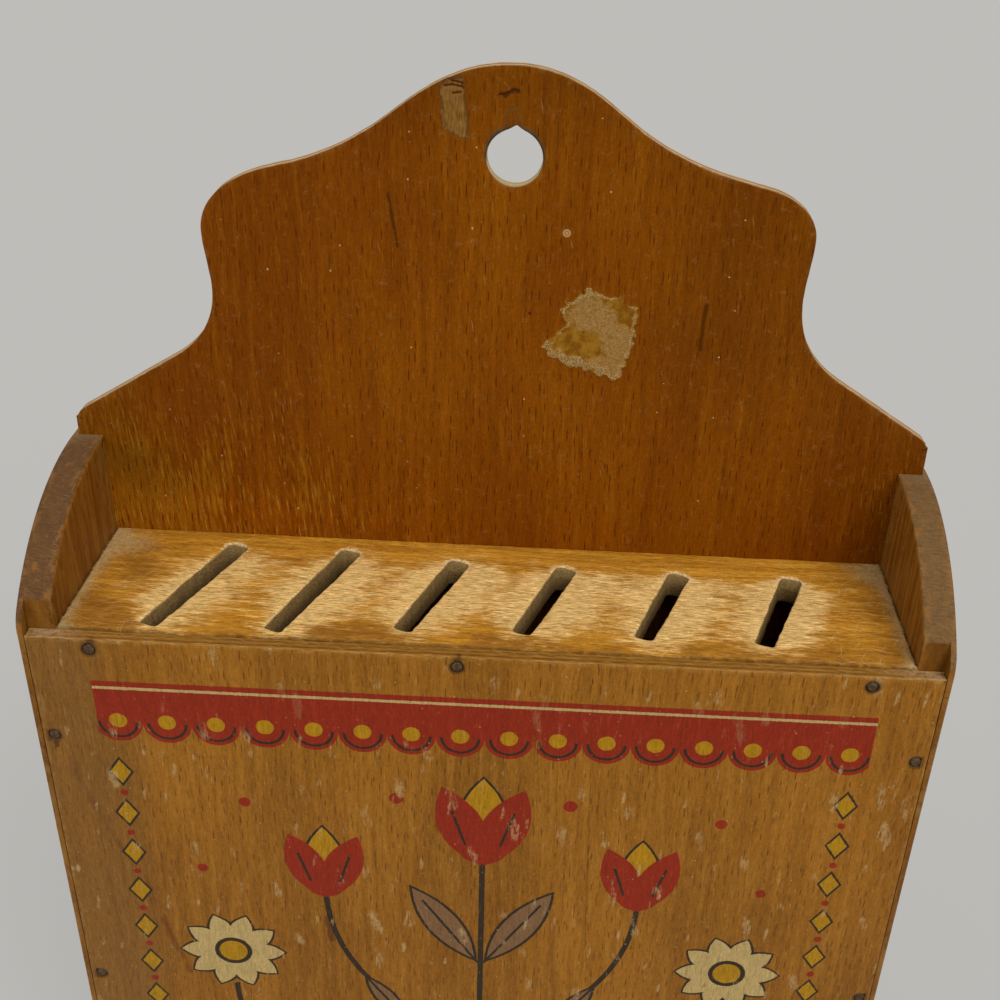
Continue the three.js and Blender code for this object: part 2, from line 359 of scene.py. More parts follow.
def floorFinish():
    finish = Finish("floorPaper")
    finish.put(colour=studio["floorColour"], roughness=0.9, gloss=0.1)
    plain = finish.node("ShaderNodeEmission", None, {"Color": studio["floorColour"], "Strength": 1.0})
    seen = finish.node("ShaderNodeLightPath") * studio["floorEvenness"]
    lit = Wire(finish, finish.shader.outputs[0])
    mixed = finish.node("ShaderNodeMixShader", None, {0: seen, 1: lit, 2: plain})
    finish.join(finish.output.inputs["Surface"], mixed)
    return finish.material


# Numbers over a board's plane

# Smooth random numbers, -1 to 1, one lump every size millimetres
def lumps(points, size, seed):
    scaled = np.asarray(points, float) / size + seed * 13.7
    cell = np.floor(scaled)
    part = scaled - cell
    part = part * part * (3 - 2 * part)

    def corner(stepU, stepV):
        value = np.sin((cell[:, 0] + stepU) * 127.1 + (cell[:, 1] + stepV) * 311.7 + seed * 7.3) * 43758.5453
        return 2 * (value - np.floor(value)) - 1

    low, high = (corner(0, v) * (1 - part[:, 0]) + corner(1, v) * part[:, 0] for v in (0, 1))
    return low * (1 - part[:, 1]) + high * part[:, 1]


def smoothStep(value, low, high):
    part = np.clip((value - low) / (high - low), 0, 1)
    return part * part * (3 - 2 * part)


# 1 at no distance, falling off over the width
def bell(away, width):
    return np.exp(-(away / width) ** 2)


def lengthOf(runs):
    return np.hypot(*runs.T)


def insideLoop(points, loop):
    inside = np.zeros(len(points), bool)
    for (u0, v0), (u1, v1) in zip(loop, np.roll(loop, -1, axis=0)):
        spans = (v0 > points[:, 1]) != (v1 > points[:, 1])
        rise = v1 - v0 if v1 != v0 else 1e-9
        inside ^= spans & (points[:, 0] < u0 + (points[:, 1] - v0) * (u1 - u0) / rise)
    return inside


def distanceToLine(points, line, closed=False):
    line = np.asarray(line, float)
    best = np.full(len(points), 1e9)
    for start, end in zip(line, np.roll(line, -1, axis=0) if closed else line[1:]):
        run = end - start
        share = np.clip(((points - start) @ run) / max(run @ run, 1e-12), 0, 1)
        best = np.minimum(best, lengthOf(points - start - share[:, None] * run))
    return best


# Below 0 inside the loop
def signedDistance(points, loop):
    away = distanceToLine(points, loop, True)
    return np.where(insideLoop(points, np.asarray(loop, float)), -away, away)


def toNearest(points, centres):
    return np.minimum.reduce([lengthOf(points - centre) for centre in centres])


# Boards: rings of points round the outline and each hole, closed by fine faces

meshing = {
    "step": 0.8,  # along an outline
    "straight": 8.0,  # a longer edge of the frame is a straight one
    "corner": 30,  # degrees; a sharper turn is a corner
    "clear": 2.6,  # no point nearer than this to a corner between straight edges
    "shelf": 1.2,  # flat ring beside a rounded edge
    "roundSteps": 4,
    "coarse": 6.0,  # spacing of points on plain faces
    "recess": [(0.15, 0.0), (0.045, 0.045), (0.0, 0.15), (0.0, 0.8)],  # for a nail's head: inset and depth
    "sharp": 40,  # degrees; a sharper fold of a board's mesh shows as an edge
}

# Steps round an edge: shares of its radius inwards from the wall and down from the face
turns = [math.radians(90 * k / meshing["roundSteps"]) for k in range(meshing["roundSteps"] + 1)]
quarterTurn = [(1 - math.sin(turn), 1 - math.cos(turn)) for turn in turns]


# Outlines of a CAD node's flat face at one level, wood on the left of each
def faceLoops(nodeName, facing, level):
    u, v, w = facings[facing]
    work = bmesh.new()
    work.from_mesh(nodes[nodeName].data)
    bmesh.ops.remove_doubles(work, verts=work.verts, dist=0.01 * mm)
    flat = [f for f in work.faces if all(abs(c.co.dot(w) - level * mm) < 0.02 * mm for c in f.verts)]
    following = {}
    for face in flat:
        for corner in face.loops:
            if sum(other in flat for other in corner.edge.link_faces) == 1:
                following[corner.vert] = corner.link_loop_next.vert
    loops = []
    while following:
        start = next(iter(following))
        chain = [start]
        while following[chain[-1]] is not start:
            chain.append(following.pop(chain[-1]))
        following.pop(chain[-1])
        loops.append(np.array([(c.co.dot(u) / mm, c.co.dot(v) / mm) for c in chain]))
    work.free()
    return sorted(loops, key=lambda loop: -np.ptp(loop, axis=0).max())


# The same loop at short steps: round stretches smooth, corners and straight edges kept
def refineLoop(loop, step):
    ahead = np.roll(loop, -1, axis=0) - loop
    lengths = lengthOf(ahead)
    ahead = ahead / lengths[:, None]
    behind = np.roll(ahead, 1, axis=0)
    before = np.roll(lengths, 1)
    isCorner = np.degrees(np.arccos(np.clip((ahead * behind).sum(1), -1, 1))) > meshing["corner"]
    points = []
    for i, start in enumerate(loop):
        j = (i + 1) % len(loop)
        count = max(1, round(lengths[i] / step))
        share = np.arange(count)[:, None] / count
        if lengths[i] > meshing["straight"]:
            along = share * lengths[i]
            afterCorner = ~isCorner[i] | (along > meshing["clear"])
            beforeCorner = ~isCorner[j] | (along < lengths[i] - meshing["clear"])
            kept = (along == 0) | (afterCorner & beforeCorner)
            points.append(start + along[kept[:, 0]] * ahead[i])
            continue
        leave = ahead[i] if isCorner[i] else heading(behind[i], ahead[i], before[i], lengths[i])
        arrive = ahead[i] if isCorner[j] else heading(ahead[i], ahead[j], lengths[i], lengths[j])
        points.append(curveBetween(start, loop[j], leave * lengths[i], arrive * lengths[i], share))
    return np.concatenate(points)


def heading(behind, ahead, before, after):
    if before > meshing["straight"]:
        return behind
    if after > meshing["straight"]:
        return ahead
    mean = behind * after + ahead * before
    return mean / np.hypot(*mean)


def curveBetween(start, end, leave, arrive, share):
    square, cube = share ** 2, share ** 3
    bent = (cube - 2 * square + share) * leave + (cube - square) * arrive
    return (2 * cube - 3 * square + 1) * start + (3 * square - 2 * cube) * end + bent


# Away from the wood, longer at corners so that an inset keeps its width
def outwards(loop):
    ahead = np.roll(loop, -1, axis=0) - loop
    ahead = ahead / np.maximum(lengthOf(ahead), 1e-9)[:, None]
    side = np.stack([ahead[:, 1], -ahead[:, 0]], 1)
    before = np.roll(side, 1, axis=0)
    return (side + before) / np.maximum(1 + (side * before).sum(1), 0.3)[:, None]


def middleOf(loop):
    return (loop.min(0) + loop.max(0)) / 2


# The small loops among a face's that nails' heads sit in
def recessLoops(loops, step):
    return [refineLoop(loop, step) for loop in loops if 2.6 < np.ptp(loop, axis=0).max() < 4.5]


def patchesRound(centres, reach, step):
    return [(centre - reach, centre + reach, step) for centre in centres]


class Board:
    def __init__(self, name, facing, level, thickness):
        self.name = name
        self.facing = facing
        self.level = level
        self.thickness = thickness
        self.points = []
        self.edges = []
        self.faces = []
        self.total = 0
        self.relief = lambda points: np.zeros(len(points))
        self.marks = {}

    def add(self, flat, depth, edge):
        start = self.total
        depth = np.broadcast_to(depth, len(flat)).astype(float)
        near = np.clip(1 - depth / self.thickness, 0, 1) ** 2
        self.points.append(np.column_stack([flat, depth + self.relief(flat) * near]))
        self.edges.append(np.broadcast_to(edge, len(flat)).astype(float))
        self.total += len(flat)
        return np.arange(start, self.total)

    # One ring for each (inset, depth, edge) of the profile, joined by four-sided faces
    def addRings(self, loop, profile, normals=None):
        normals = outwards(loop) if normals is None else normals
        rings = [self.add(loop - normals * np.broadcast_to(inset, len(loop))[:, None], depth, edge)
                 for inset, depth, edge in profile]
        self.joinRings(rings)
        return rings

    def joinRings(self, rings):
        for upper, lower in zip(rings, rings[1:]):
            self.faces += np.column_stack([upper, lower, np.roll(lower, -1), np.roll(upper, -1)]).tolist()

    # Recesses in the face that is looked at: their rims
    def sink(self, loops):
        sunk = [self.addRings(loop, [(*step, 0.6) for step in meshing["recess"]]) for loop in loops]
        self.faces += [rings[-1][::-1].tolist() for rings in sunk]
        return [rings[0] for rings in sunk]

    # Triangles over a face between its rings, on extra points in a jittered grid unless it is plain
    def fill(self, rings, depth, patches=(), turned=False, plain=False):
        flats = [np.concatenate(self.points)[ring, :2] for ring in rings]
        extra = np.zeros((0, 2)) if plain else self.gridPoints(flats, patches)
        known = np.concatenate(flats + [extra])
        links = []
        start = 0
        for flat in flats:
            links += [(start + i, start + (i + 1) % len(flat)) for i in range(len(flat))]
            start += len(flat)
        numbers = np.concatenate(rings + [self.add(extra, depth, 0.0)])
        made = delaunay_2d_cdt([Vector(p) for p in known], links, [], 1, 1e-4 if plain else 1e-7)
        source = [origins[0] if origins else -1 for origins in made[3]]
        triangles = np.array([[source[corner] for corner in face] for face in made[2]])
        triangles = triangles[(triangles >= 0).all(1)]
        middles = known[triangles].mean(1)
        keep = insideLoop(middles, flats[0]) | plain
        for hole in flats[1:]:
            keep &= ~insideLoop(middles, hole)
        triangles = triangles[keep]
        a, b, c = (known[triangles[:, index]] for index in range(3))
        area = (b - a)[:, 0] * (c - a)[:, 1] - (b - a)[:, 1] * (c - a)[:, 0]
        wrong = (area < 0) != turned
        triangles[wrong] = triangles[wrong][:, ::-1]
        self.faces += numbers[triangles].tolist()

    def gridPoints(self, flats, patches):
        layers = [(flats[0].min(0), flats[0].max(0), meshing["coarse"])]
        layers += [(np.array(low), np.array(high), step) for low, high, step in patches]
        kept = np.zeros((0, 2))
        random = np.random.default_rng(len(self.name))
        for index, (start, end, step) in enumerate(layers):
            u, v = (np.arange(start[k] + step / 2, end[k], step) for k in (0, 1))
            grid = np.stack(np.meshgrid(u, v), -1).reshape(-1, 2)
            grid = grid + random.uniform(-0.2, 0.2, grid.shape) * step
            grid = grid[insideLoop(grid, flats[0])]
            for later in layers[index + 1:]:
                grid = grid[~((grid > later[0]) & (grid < later[1])).all(1)]
            for flat in flats[1:]:
                grid = grid[~insideLoop(grid, flat)]
            for flat in flats:
                grid = grid[distanceToLine(grid, flat, True) > 0.55 * min(step, 3)]
            kept = np.concatenate([kept, grid])
        return kept

    # Makes the mesh and hands the piece over in place of the frame's node
    def finish(self, material, nodeName, slotName):
        u, v, w = (np.array(axis) for axis in facings[self.facing])
        points = np.concatenate(self.points)
        flat, depth = points[:, :2], points[:, 2]
        placed = flat[:, :1] * u + flat[:, 1:] * v + (self.level - depth)[:, None] * w
        mesh = bpy.data.meshes.new(self.name)
        mesh.from_pydata((placed * mm).tolist(), [], self.faces)
        near = depth < self.thickness * 0.4
        marks = {name: np.where(near, measure(flat), 0.0) for name, measure in self.marks.items()}
        for name, value in {"edge": np.concatenate(self.edges), **marks}.items():
            mesh.attributes.new(name, "FLOAT", "POINT").data.foreach_set("value", value)
        mesh.validate()
        tidy = bmesh.new()
        tidy.from_mesh(mesh)
        bmesh.ops.remove_doubles(tidy, verts=tidy.verts, dist=0.002 * mm)
        bmesh.ops.dissolve_degenerate(tidy, edges=tidy.edges, dist=0.0005 * mm)
        tidy.to_mesh(mesh)
        tidy.free()
        mesh.materials.append(material)
        settle(addObject(self.name, mesh), [nodeName], meshing["sharp"])


def settle(piece, nodeNames, sharp):
    piece.data.shade_smooth()
    piece.data.set_sharp_from_angle(angle=math.radians(sharp))
    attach(piece, "root")
    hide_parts(*nodeNames)
    print("made", piece.name, len(piece.data.vertices), "points")


# Rings over an edge: a flat shelf, the rounding, the wall and the same again at the back
def edgeProfile(loop, thickness, rounding, wallDepths, seed, wear=0.5, roughness=0.05):
    radius = rounding * (1 + wear * lumps(loop, 9, seed) + 0.4 * wear * lumps(loop, 2.2, seed + 1))
    radius = np.clip(radius, 0.08, thickness * 0.4)
    wall = [(np.maximum(hollow + roughness * lumps(loop, 1.6, seed + 3 + index), 0), depth, 0.8)
            for index, (depth, hollow) in enumerate(wallDepths)]
    return (
        [(radius + meshing["shelf"], 0.0, 0.0)]
        + [(radius * inwards, radius * down, 1.0) for inwards, down in quarterTurn]
        + wall
        + [(radius * inwards, thickness - radius * down, 1.0) for inwards, down in quarterTurn[::-1]]
        + [(radius + meshing["shelf"], thickness, 0.0)]
    )


# Plywood is cut a little unevenly, and its straight sides lie nearer the side panels' lips
# than the frame has them
snugFit = {"sides": 117.7, "reach": 118.3}


def cutPlywood(outline, unevenness, size):
    shaved = np.abs(unevenness * lumps(outline, size, 1) + 0.04 * lumps(outline, 2, 2))
    cut = outline - outwards(outline) * shaved[:, None]
    sides = np.abs(cut[:, 0]) > snugFit["sides"]
    cut[sides, 0] = np.sign(cut[sides, 0]) * snugFit["reach"]
    return cut


# Wood finishes

beech = {
    # one stroke in each cell: cell across and along the grain, half its width and length, shift, share
    "flecks": ((2.2, 5.2), (0.25, 2.1), 0.0, 0.65),
    "tiny": ((1.1, 2.4), (0.12, 0.55), 2.6, 0.7),
    "paleFlecks": ((2.9, 7.0), (0.17, 1.7), 4.4, 0.5),
}


# Beech whose grain runs along one way: zones, streaks, fibres and flecks are all 0 to 1
class Wood:
    def __init__(self, finish, across, along, thickness, shift):
        flat = finish.combine(across, along, thickness)
        wavy = finish.noise((22, 60, 22), shift, 2.0, 0.5, flat) * 5.0
        bent = finish.combine(across + wavy, along, thickness)
        self.finish = finish
        self.zones = finish.noise((34, 110, 34), shift + 3.1, 2.0, 0.5, flat)
        self.streaks = finish.noise((1.9, 34, 6), shift + 5.7, 3.0, 0.6, bent)
        self.fibres = finish.noise((0.5, 4.5, 2), shift + 9.2, 2.0, 0.65, bent)
        self.mottle = finish.noise((0.55, 0.8, 0.6), shift + 1.4, 2.0, 0.7, flat)
        for name, (cell, stroke, further, share) in beech.items():
            setattr(self, name, finish.strokes(across, along, cell, stroke, shift + further, share))

    # Dark and light zones under pale and dark streaks
    def stained(self, colours, share, paleFrom):
        dark, light, paleStreak, darkStreak = colours
        return self.finish.layers(
            self.finish.mix(self.zones.ramp(0.3, 0.7), dark, light),
            (self.streaks.ramp(paleFrom, 0.75) * share, paleStreak),
            (self.streaks.ramp(0.5, 0.25) * share, darkStreak),
        )

    # Light and dark of the fibres, about 1
    def shade(self, amount):
        fine = (self.mottle - 0.5) * 0.9 + (self.fibres - 0.5) * 1.1 + (self.streaks - 0.5) * 0.5
        return fine * amount + 1.0

    def flecked(self, colour, dark, pale):
        coats = (self.flecks * 0.95, dark), (self.tiny * 0.6, dark), (self.paleFlecks * 0.35, pale)
        return self.finish.layers(colour, *coats)


# Five plies across a plywood board's edge: 1 on the pale ones
def plies(finish, depth):
    return finish.maths("SINE", depth * (math.pi * 5 / plywood)).ramp(-0.35, 0.35)


# Backboard

backboardLook = {
    "varnish": [(0.148, 0.033, 0.0005), (0.2, 0.052, 0.0007), (0.225, 0.076, 0.0016), (0.115, 0.024, 0.0005)],
    "gloss": 0.22,
    "rounding": 0.3,
    "plyDepths": [(0.95, 0.02), (1.3, 0.14), (2.0, 0.1), (2.7, 0.14), (3.05, 0.02)],
    "holeRadius": 7.0,
    "notchRise": 1.05,  # worn by the hook, above the round hole
    "notchWidth": 9,  # degrees to either side
    "chip": [(-16, 371.6), (-11.3, 372.2), (-11.0, 369), (-10.3, 362), (-10.4, 357.4), (-14.1, 358.2),
             (-16.5, 360), (-16.8, 365.4), (-17.2, 369)],
    "chipDepth": 0.5,
    "tears": [[(-15.9, 369.8), (-14.0, 370.1), (-11.3, 369.6)], [(-14.0, 371.0), (-11.5, 370.6)],
              [(-13.9, 368.1), (-12.0, 368.4)]],
    "crack": [(-2.3, 368.3), (-1.2, 368.2), (-0.4, 368.8), (0.6, 369.4), (1.9, 369.3)],
    "residue": [(21.7, 320.1), (27.7, 318.5), (34.8, 315.3), (35.5, 308.2), (33.5, 300.7), (31, 294.6),
                (23.7, 296.5), (16.7, 298.5), (12.8, 300), (10.1, 303.2), (13.5, 307.7), (15.8, 310.4),
                (13.8, 314), (16.2, 316.5)],
    "residueHollow": [(14.4, 303.8), (16.7, 308.4), (22.8, 307.8), (26.6, 304.5), (24, 302), (18.2, 301.2)],
    "residueFilm": [(19, 319.5), (27.5, 317), (30.5, 311), (35, 307), (33.5, 299.5), (30, 295), (19, 298.8),
                    (26.5, 302), (27, 306), (17.5, 311)],
    "residueHeight": 0.2,
    "paintSpot": (15.3, 334.7),
    "redSpots": [(-76.1, 310.6), (6.6, 312.5)],
    "scuff": (1.2, 363.6),
    "mineralStreaks": [((52.2, 304.5), (52.8, 317.0), 0.9), ((-30.2, 342.5), (-27.9, 329.0), 0.55)],
    "fine": [((-19, 354), (-8, 374.2), 0.4), ((-8, 345), (11, 372.5), 0.45), ((8, 292), (38, 322.5), 0.4),
             ((50, 303), (55, 319), 0.5), ((-32, 333), (-27, 344), 0.5)],  # closely meshed: from, to, spacing
}


# The hole with the notch in its top
def wornHole(loop):
    middle = middleOf(loop)
    away = loop - middle
    angle = np.abs(np.degrees(np.arctan2(away[:, 1], away[:, 0])) - 88)
    rise = backboardLook["notchRise"] * np.exp(-(angle / backboardLook["notchWidth"]) ** 1.3)
    radius = lengthOf(away)
    return middle + away * ((radius + rise) / radius)[:, None]


# How far inside the residue's ragged edge
def residueInside(points):
    ragged = 0.8 * lumps(points, 1.7, 21) + 0.6 * lumps(points, 0.8, 22)
    return ragged - signedDistance(points, backboardLook["residue"])


def residueFilm(points):
    hollow = 0.5 * lumps(points, 1.4, 25) - signedDistance(points, backboardLook["residueHollow"])
    ragged = 1.0 * lumps(points, 2.2, 26) + 0.6 * lumps(points, 1.0, 27)
    film = smoothStep(ragged - signedDistance(points, backboardLook["residueFilm"]), -1.8, 1.8)
    return film * smoothStep(residueInside(points), 0.0, 0.5) * (1 - smoothStep(hollow, -0.4, 0.6))


# Crumbs left along the edge, most at the lower left, and round the hollow
def residueRim(points):
    inside = residueInside(points)
    broken = smoothStep(lumps(points, 3.2, 23) + 0.4 * lumps(points, 1.2, 28), -0.9, 0.1)
    low = smoothStep(points[:, 0] + (points[:, 1] - 300) * 1.2, 24, 14) * smoothStep(points[:, 1], 306, 301)
    edge = bell(inside - 0.8, 1.15) * np.maximum(broken, low)
    beyond = 0.7 - signedDistance(points, backboardLook["residueHollow"])
    around = bell(beyond, 0.8) * smoothStep(lumps(points, 2.4, 24), 0.0, 0.5)
    return np.clip(edge + 0.7 * around + 0.5 * low * smoothStep(inside, 0, 0.6), 0, 1)


def backboardRelief(points, middle):
    look = backboardLook
    splinters = 0.16 * lumps(points * (1, 0.25), 0.5, 3) + 0.12 * lumps(points, 1.5, 4)
    depth = smoothStep(-signedDistance(points, look["chip"]), -0.1, 0.5) * (look["chipDepth"] + splinters)
    for tear in look["tears"]:
        depth += 0.25 * bell(distanceToLine(points, tear), 0.35)
    ragged = distanceToLine(points, look["crack"]) + 0.15 * lumps(points, 0.7, 5)
    depth += 0.4 * smoothStep(ragged, 0.6, 0.2)
    away = points - middle
    pressed = bell(np.maximum(lengthOf(away) - 7.2, 0), 1.0)
    depth += 0.3 * smoothStep(away[:, 1], 2.0, 7.5) * pressed
    for start, end, width in look["mineralStreaks"]:
        depth += 0.12 * smoothStep(distanceToLine(points, (start, end)), width * 0.6, 0.1)
    crumbs = residueRim(points) * (0.7 + 0.5 * lumps(points, 0.7, 7))
    return depth - look["residueHeight"] * (0.6 * residueFilm(points) + crumbs)


def varnishedFace(finish, wood, x, y, z):
    # ochre streaks where the stain is thin, most at the lower left
    low = z.ramp(305, 250)
    thin = low * x.ramp(10, -116) * 0.8 + low * x.ramp(70, 100) * 0.2
    patch = finish.sway(1.2, (14, 20, 26), 6.6, 2.0, 0.5)
    vein = finish.sway(2.1, (0.9, 13, 3), 6.0, spot=finish.combine(x + z * 0.06, z, y))
    slivers = finish.strokes(x + z * 0.1, z, (2.4, 6.0), (0.26, 2.6), 12.5, 0.8)
    colour = finish.layers(
        wood.stained(backboardLook["varnish"], 0.35, 0.5),
        ((thin + vein + patch).ramp(0.45, 0.85) * 0.4, (0.27, 0.122, 0.006)),
        (slivers * (thin + patch).ramp(0.0, 0.55) * 0.42, (0.4, 0.22, 0.024)),
    )
    # Painted sheen: the lower left is made lighter; the same factor also darkens towards the right, the crest
    # and both sides
    sheenAndDarkening = z.ramp(262, 246) * x.ramp(0, -100) * 0.34 - x.ramp(20, 60) * (z.ramp(290, 310) * 0.1 + 0.1)
    sheenAndDarkening = sheenAndDarkening - z.ramp(345, 372) * 0.18
    sheenAndDarkening = sheenAndDarkening - abs(x).ramp(85, 118) * 0.12 - x.ramp(-84, -108) * z.ramp(250, 264) * 0.16
    colour = finish.scaled(finish.scaled(colour, wood.shade(0.7)), sheenAndDarkening + 1.0)
    colour = wood.flecked(colour, (0.07, 0.01, 0.0005), (0.3, 0.14, 0.012))
    dust = finish.strokes(x, z, (17, 14), (0.3, 0.33), 7.7, 0.3)
    scratches = finish.strokes(x + z * 0.2, z, (24, 19), (0.12, 1.9), 5.9, 0.5)
    return finish.layers(colour, (dust * 0.85, (0.6, 0.42, 0.22)), (scratches * 0.6, (0.42, 0.24, 0.07)))


# Mineral streaks, red spots and a drop of paint
def backboardSpots(finish, wood, x, z, colour):
    look = backboardLook
    for start, end, width in look["mineralStreaks"]:
        streak = finish.stroke(x, z, start, end) + (wood.fibres - 0.5) * 0.9
        colour = finish.mix(streak.ramp(width, width * 0.3) * 0.75, colour, (0.045, 0.01, 0.0008))
    for spot in look["redSpots"]:
        away = finish.disc(x - spot[0], z - spot[1], 0.45)
        colour = finish.mix(away.ramp(0.15, -0.1) * 0.8, colour, (0.07, 0.005, 0.001))
    away = finish.disc(x - look["paintSpot"][0], z - look["paintSpot"][1], 1.05)
    return finish.layers(colour, (away.ramp(0.1, -0.1) * 0.9, (0.42, 0.25, 0.10)),
                         (abs(away + 0.55).ramp(0.2, 0.05) * 0.6, (0.12, 0.05, 0.015)))


# The chip's bare wood, with the tears in it and the crack beside it
def tornVeneer(finish, torn, splinters, x, z, colour):
    look = backboardLook
    bare = finish.mix(splinters.ramp(0.3, 0.7), (0.13, 0.057, 0.009), (0.25, 0.132, 0.034))
    bare = finish.mix(z.ramp(364, 371) * 0.5, bare, (0.22, 0.11, 0.035))
    colour = finish.layers(colour, (torn * 0.85, bare), (torn * (1 - torn) * 2.6, (0.06, 0.022, 0.004)))
    ragged = finish.sway(0.7, (0.9, 1, 0.35), 3.3)
    for line, width in [(line, 0.4) for line in look["tears"]] + [(look["crack"], 0.8)]:
        for start, end in zip(line, line[1:]):
            gash = finish.stroke(x, z, start, end) + ragged
            colour = finish.mix(gash.ramp(width, width * 0.4) * 0.95, colour, (0.055, 0.01, 0.001))
    return colour


# Rubbed grey round the top of the hole, dark at its rim
def rubbedHole(finish, away, holeZ, x, z, colour):
    scuffX, scuffZ = backboardLook["scuff"]
    rubbed = away + finish.sway(1.4, (1.4, 2, 1.4), 4.0) - holeZ.ramp(-2.0, 7.0) * 1.1
    scuffed = abs(x - scuffX).ramp(3.6, 2.0) * abs(z - scuffZ).ramp(3.2, 1.6) * finish.noise((1, 1, 1.4), 2.1)
    return finish.layers(
        colour,
        (rubbed.ramp(0.6, -0.5) * 0.75, (0.07, 0.042, 0.02)),
        (abs(away - 0.25).ramp(0.5, 0.15) * holeZ.ramp(-3.5, 1.0) * 0.85, (0.035, 0.028, 0.02)),
        (scuffed.ramp(0.35, 0.6) * 0.5, (0.105, 0.05, 0.012)),
    )


# Glue, a film of paper on it, and pale and dark crumbs
def residueCoat(finish, film, rim, crumbs, colour):
    glued = finish.mark("residue")
    cloud = finish.noise((2.4, 3, 2.4), 2.0, 3.0, 0.65)
    speckle = finish.noise(0.5, 3.0, 2.0, 0.7)
    glue = finish.mix(cloud.ramp(0.35, 0.65), (0.165, 0.065, 0.004), (0.29, 0.145, 0.014))
    paper = finish.mix(speckle.ramp(0.3, 0.7), (0.205, 0.103, 0.027), (0.335, 0.19, 0.063))
    return finish.layers(
        colour,
        ((glued + (cloud - 0.5)).ramp(0.2, 0.9) * 0.75, glue),
        ((film + (cloud - 0.5) * 1.5 + (speckle - 0.5) * 0.8).ramp(0.1, 1.0) * 0.9, paper),
        ((rim * 0.5 + glued * 0.1 + crumbs - 0.92).ramp(0.0, 0.25) * 0.9, (0.52, 0.36, 0.15)),
        ((rim * 0.5 - crumbs + 0.12).ramp(0.0, 0.14) * 0.7, (0.1, 0.042, 0.006)),
    )


# Plies, stained at the front and raw in the lower half of the hole
def backboardEdge(finish, away, holeZ, y):
    grime = finish.noise(6, 1.0, 3.0)
    stained = (y - insideY).ramp(1.7, 0.7) * finish.noise(2, 9.0).ramp(0.25, 0.5)
    raw = finish.mix(grime, (0.3, 0.22, 0.09), (0.5, 0.4, 0.2))
    return finish.layers(
        finish.mix(plies(finish, y - insideY), (0.26, 0.12, 0.03), (0.55, 0.38, 0.19)),
        (grime.ramp(0.4, 0.7) * 0.4, (0.24, 0.13, 0.045)),
        (stained * 0.8, (0.2, 0.085, 0.016)),
        (away.ramp(1.4, 0.9) * holeZ.ramp(0.5, -3.0) * 0.75, raw),
    )


def backboardFinish(middle):
    finish = Finish("backboardVarnish")
    x, y, z = finish.place()
    wood = Wood(finish, x, z, y, 2.0)
    torn, film, rim = (finish.mark(name) for name in ("torn", "residueFilm", "residueRim"))
    splinters = finish.noise((0.45, 3, 2.4), 8.0, 3.0)
    crumbs = finish.noise((0.45, 1, 0.33), 5.0, 4.0, 0.9)
    holeZ = z - float(middle[1])
    away = finish.disc(x - float(middle[0]), holeZ, backboardLook["holeRadius"])
    colour = varnishedFace(finish, wood, x, y, z)
    colour = backboardSpots(finish, wood, x, z, colour)
    colour = tornVeneer(finish, torn, splinters, x, z, colour)
    colour = rubbedHole(finish, away, holeZ, x, z, colour)
    colour = residueCoat(finish, film, rim, crumbs, colour)
    facingY = finish.facing()[1]
    worn = finish.mark("edge") * facingY.ramp(0.3, 0.6) * finish.noise(3, 11.0, 3.0).ramp(0.45, 0.7)
    bareBack = finish.mix(wood.streaks.ramp(0.3, 0.7), (0.36, 0.22, 0.1), (0.5, 0.33, 0.17))
    bareBack = finish.scaled(wood.flecked(bareBack, (0.2, 0.1, 0.04), (0.6, 0.45, 0.25)), wood.shade(0.4))
    colour = finish.layers(
        colour,
        (facingY.ramp(0.75, 0.45), backboardEdge(finish, away, holeZ, y)),
        (worn * 0.15, (0.34, 0.2, 0.07)),
        (y.ramp(outsideY - 0.55, outsideY - 0.25), bareBack),
    )
    height = wood.fibres - wood.flecks * 0.8 + wood.mottle * 0.5
    height = height + torn * splinters * 2.0 + film * 0.5 + rim * crumbs * 2.5
    roughness = 0.38 + torn * 0.35 + film * 0.3 + rim * 0.3 + (wood.zones - 0.5) * 0.15
    return finish.dress(height, 0.4, 0.12, colour=colour, roughness=roughness, gloss=backboardLook["gloss"],
                        glossTint=(1.0, 0.62, 0.12))


def makeBackboard():
    look = backboardLook
    low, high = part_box("backboard")
    loops = faceLoops("backboard", "front", -low.y / mm)
    hole = next(loop for loop in loops[1:] if 10 < np.ptp(loop, axis=0).max() < 20)
    middle = middleOf(hole)
    board = Board("backboardPlywood", "front", -low.y / mm, plywood)
    board.relief = lambda points: backboardRelief(points, middle)
    board.marks = {
        "torn": lambda p: smoothStep(-signedDistance(p, look["chip"]) + 0.3 * lumps(p, 0.9, 2), -0.3, 0.5),
        "residue": lambda p: smoothStep(residueInside(p), -0.3, 0.6),
        "residueFilm": residueFilm,
        "residueRim": residueRim,
    }
    outline = cutPlywood(refineLoop(loops[0], meshing["step"]), 0.1, 7)
    hole = wornHole(refineLoop(hole, 0.35))
    outer = board.addRings(outline, edgeProfile(outline, plywood, look["rounding"], look["plyDepths"], 1))
    inner = board.addRings(hole, edgeProfile(hole, plywood, 0.4, look["plyDepths"], 5))
    board.fill([outer[0], inner[0]], 0.0, look["fine"])
    # recesses in the back, seen in the same u and v as the front
    backLoops = [loop[::-1] * (-1, 1) for loop in faceLoops("backboard", "back", high.y / mm)]
    recess = (0.0, 0.8), (0.0, 0.2), (0.06, 0.06), (0.2, 0.0)
    sunk = [(inset, plywood - depth, 0.6) for inset, depth in recess]
    recesses = [board.addRings(loop, sunk) for loop in recessLoops(backLoops, 0.5)]
    board.faces += [rings[0].tolist() for rings in recesses]
    board.fill([outer[-1], inner[-1]] + [rings[-1] for rings in recesses], plywood, turned=True)
    board.finish(backboardFinish(middle), "backboard", "backboard_varnish")


# Slotted board

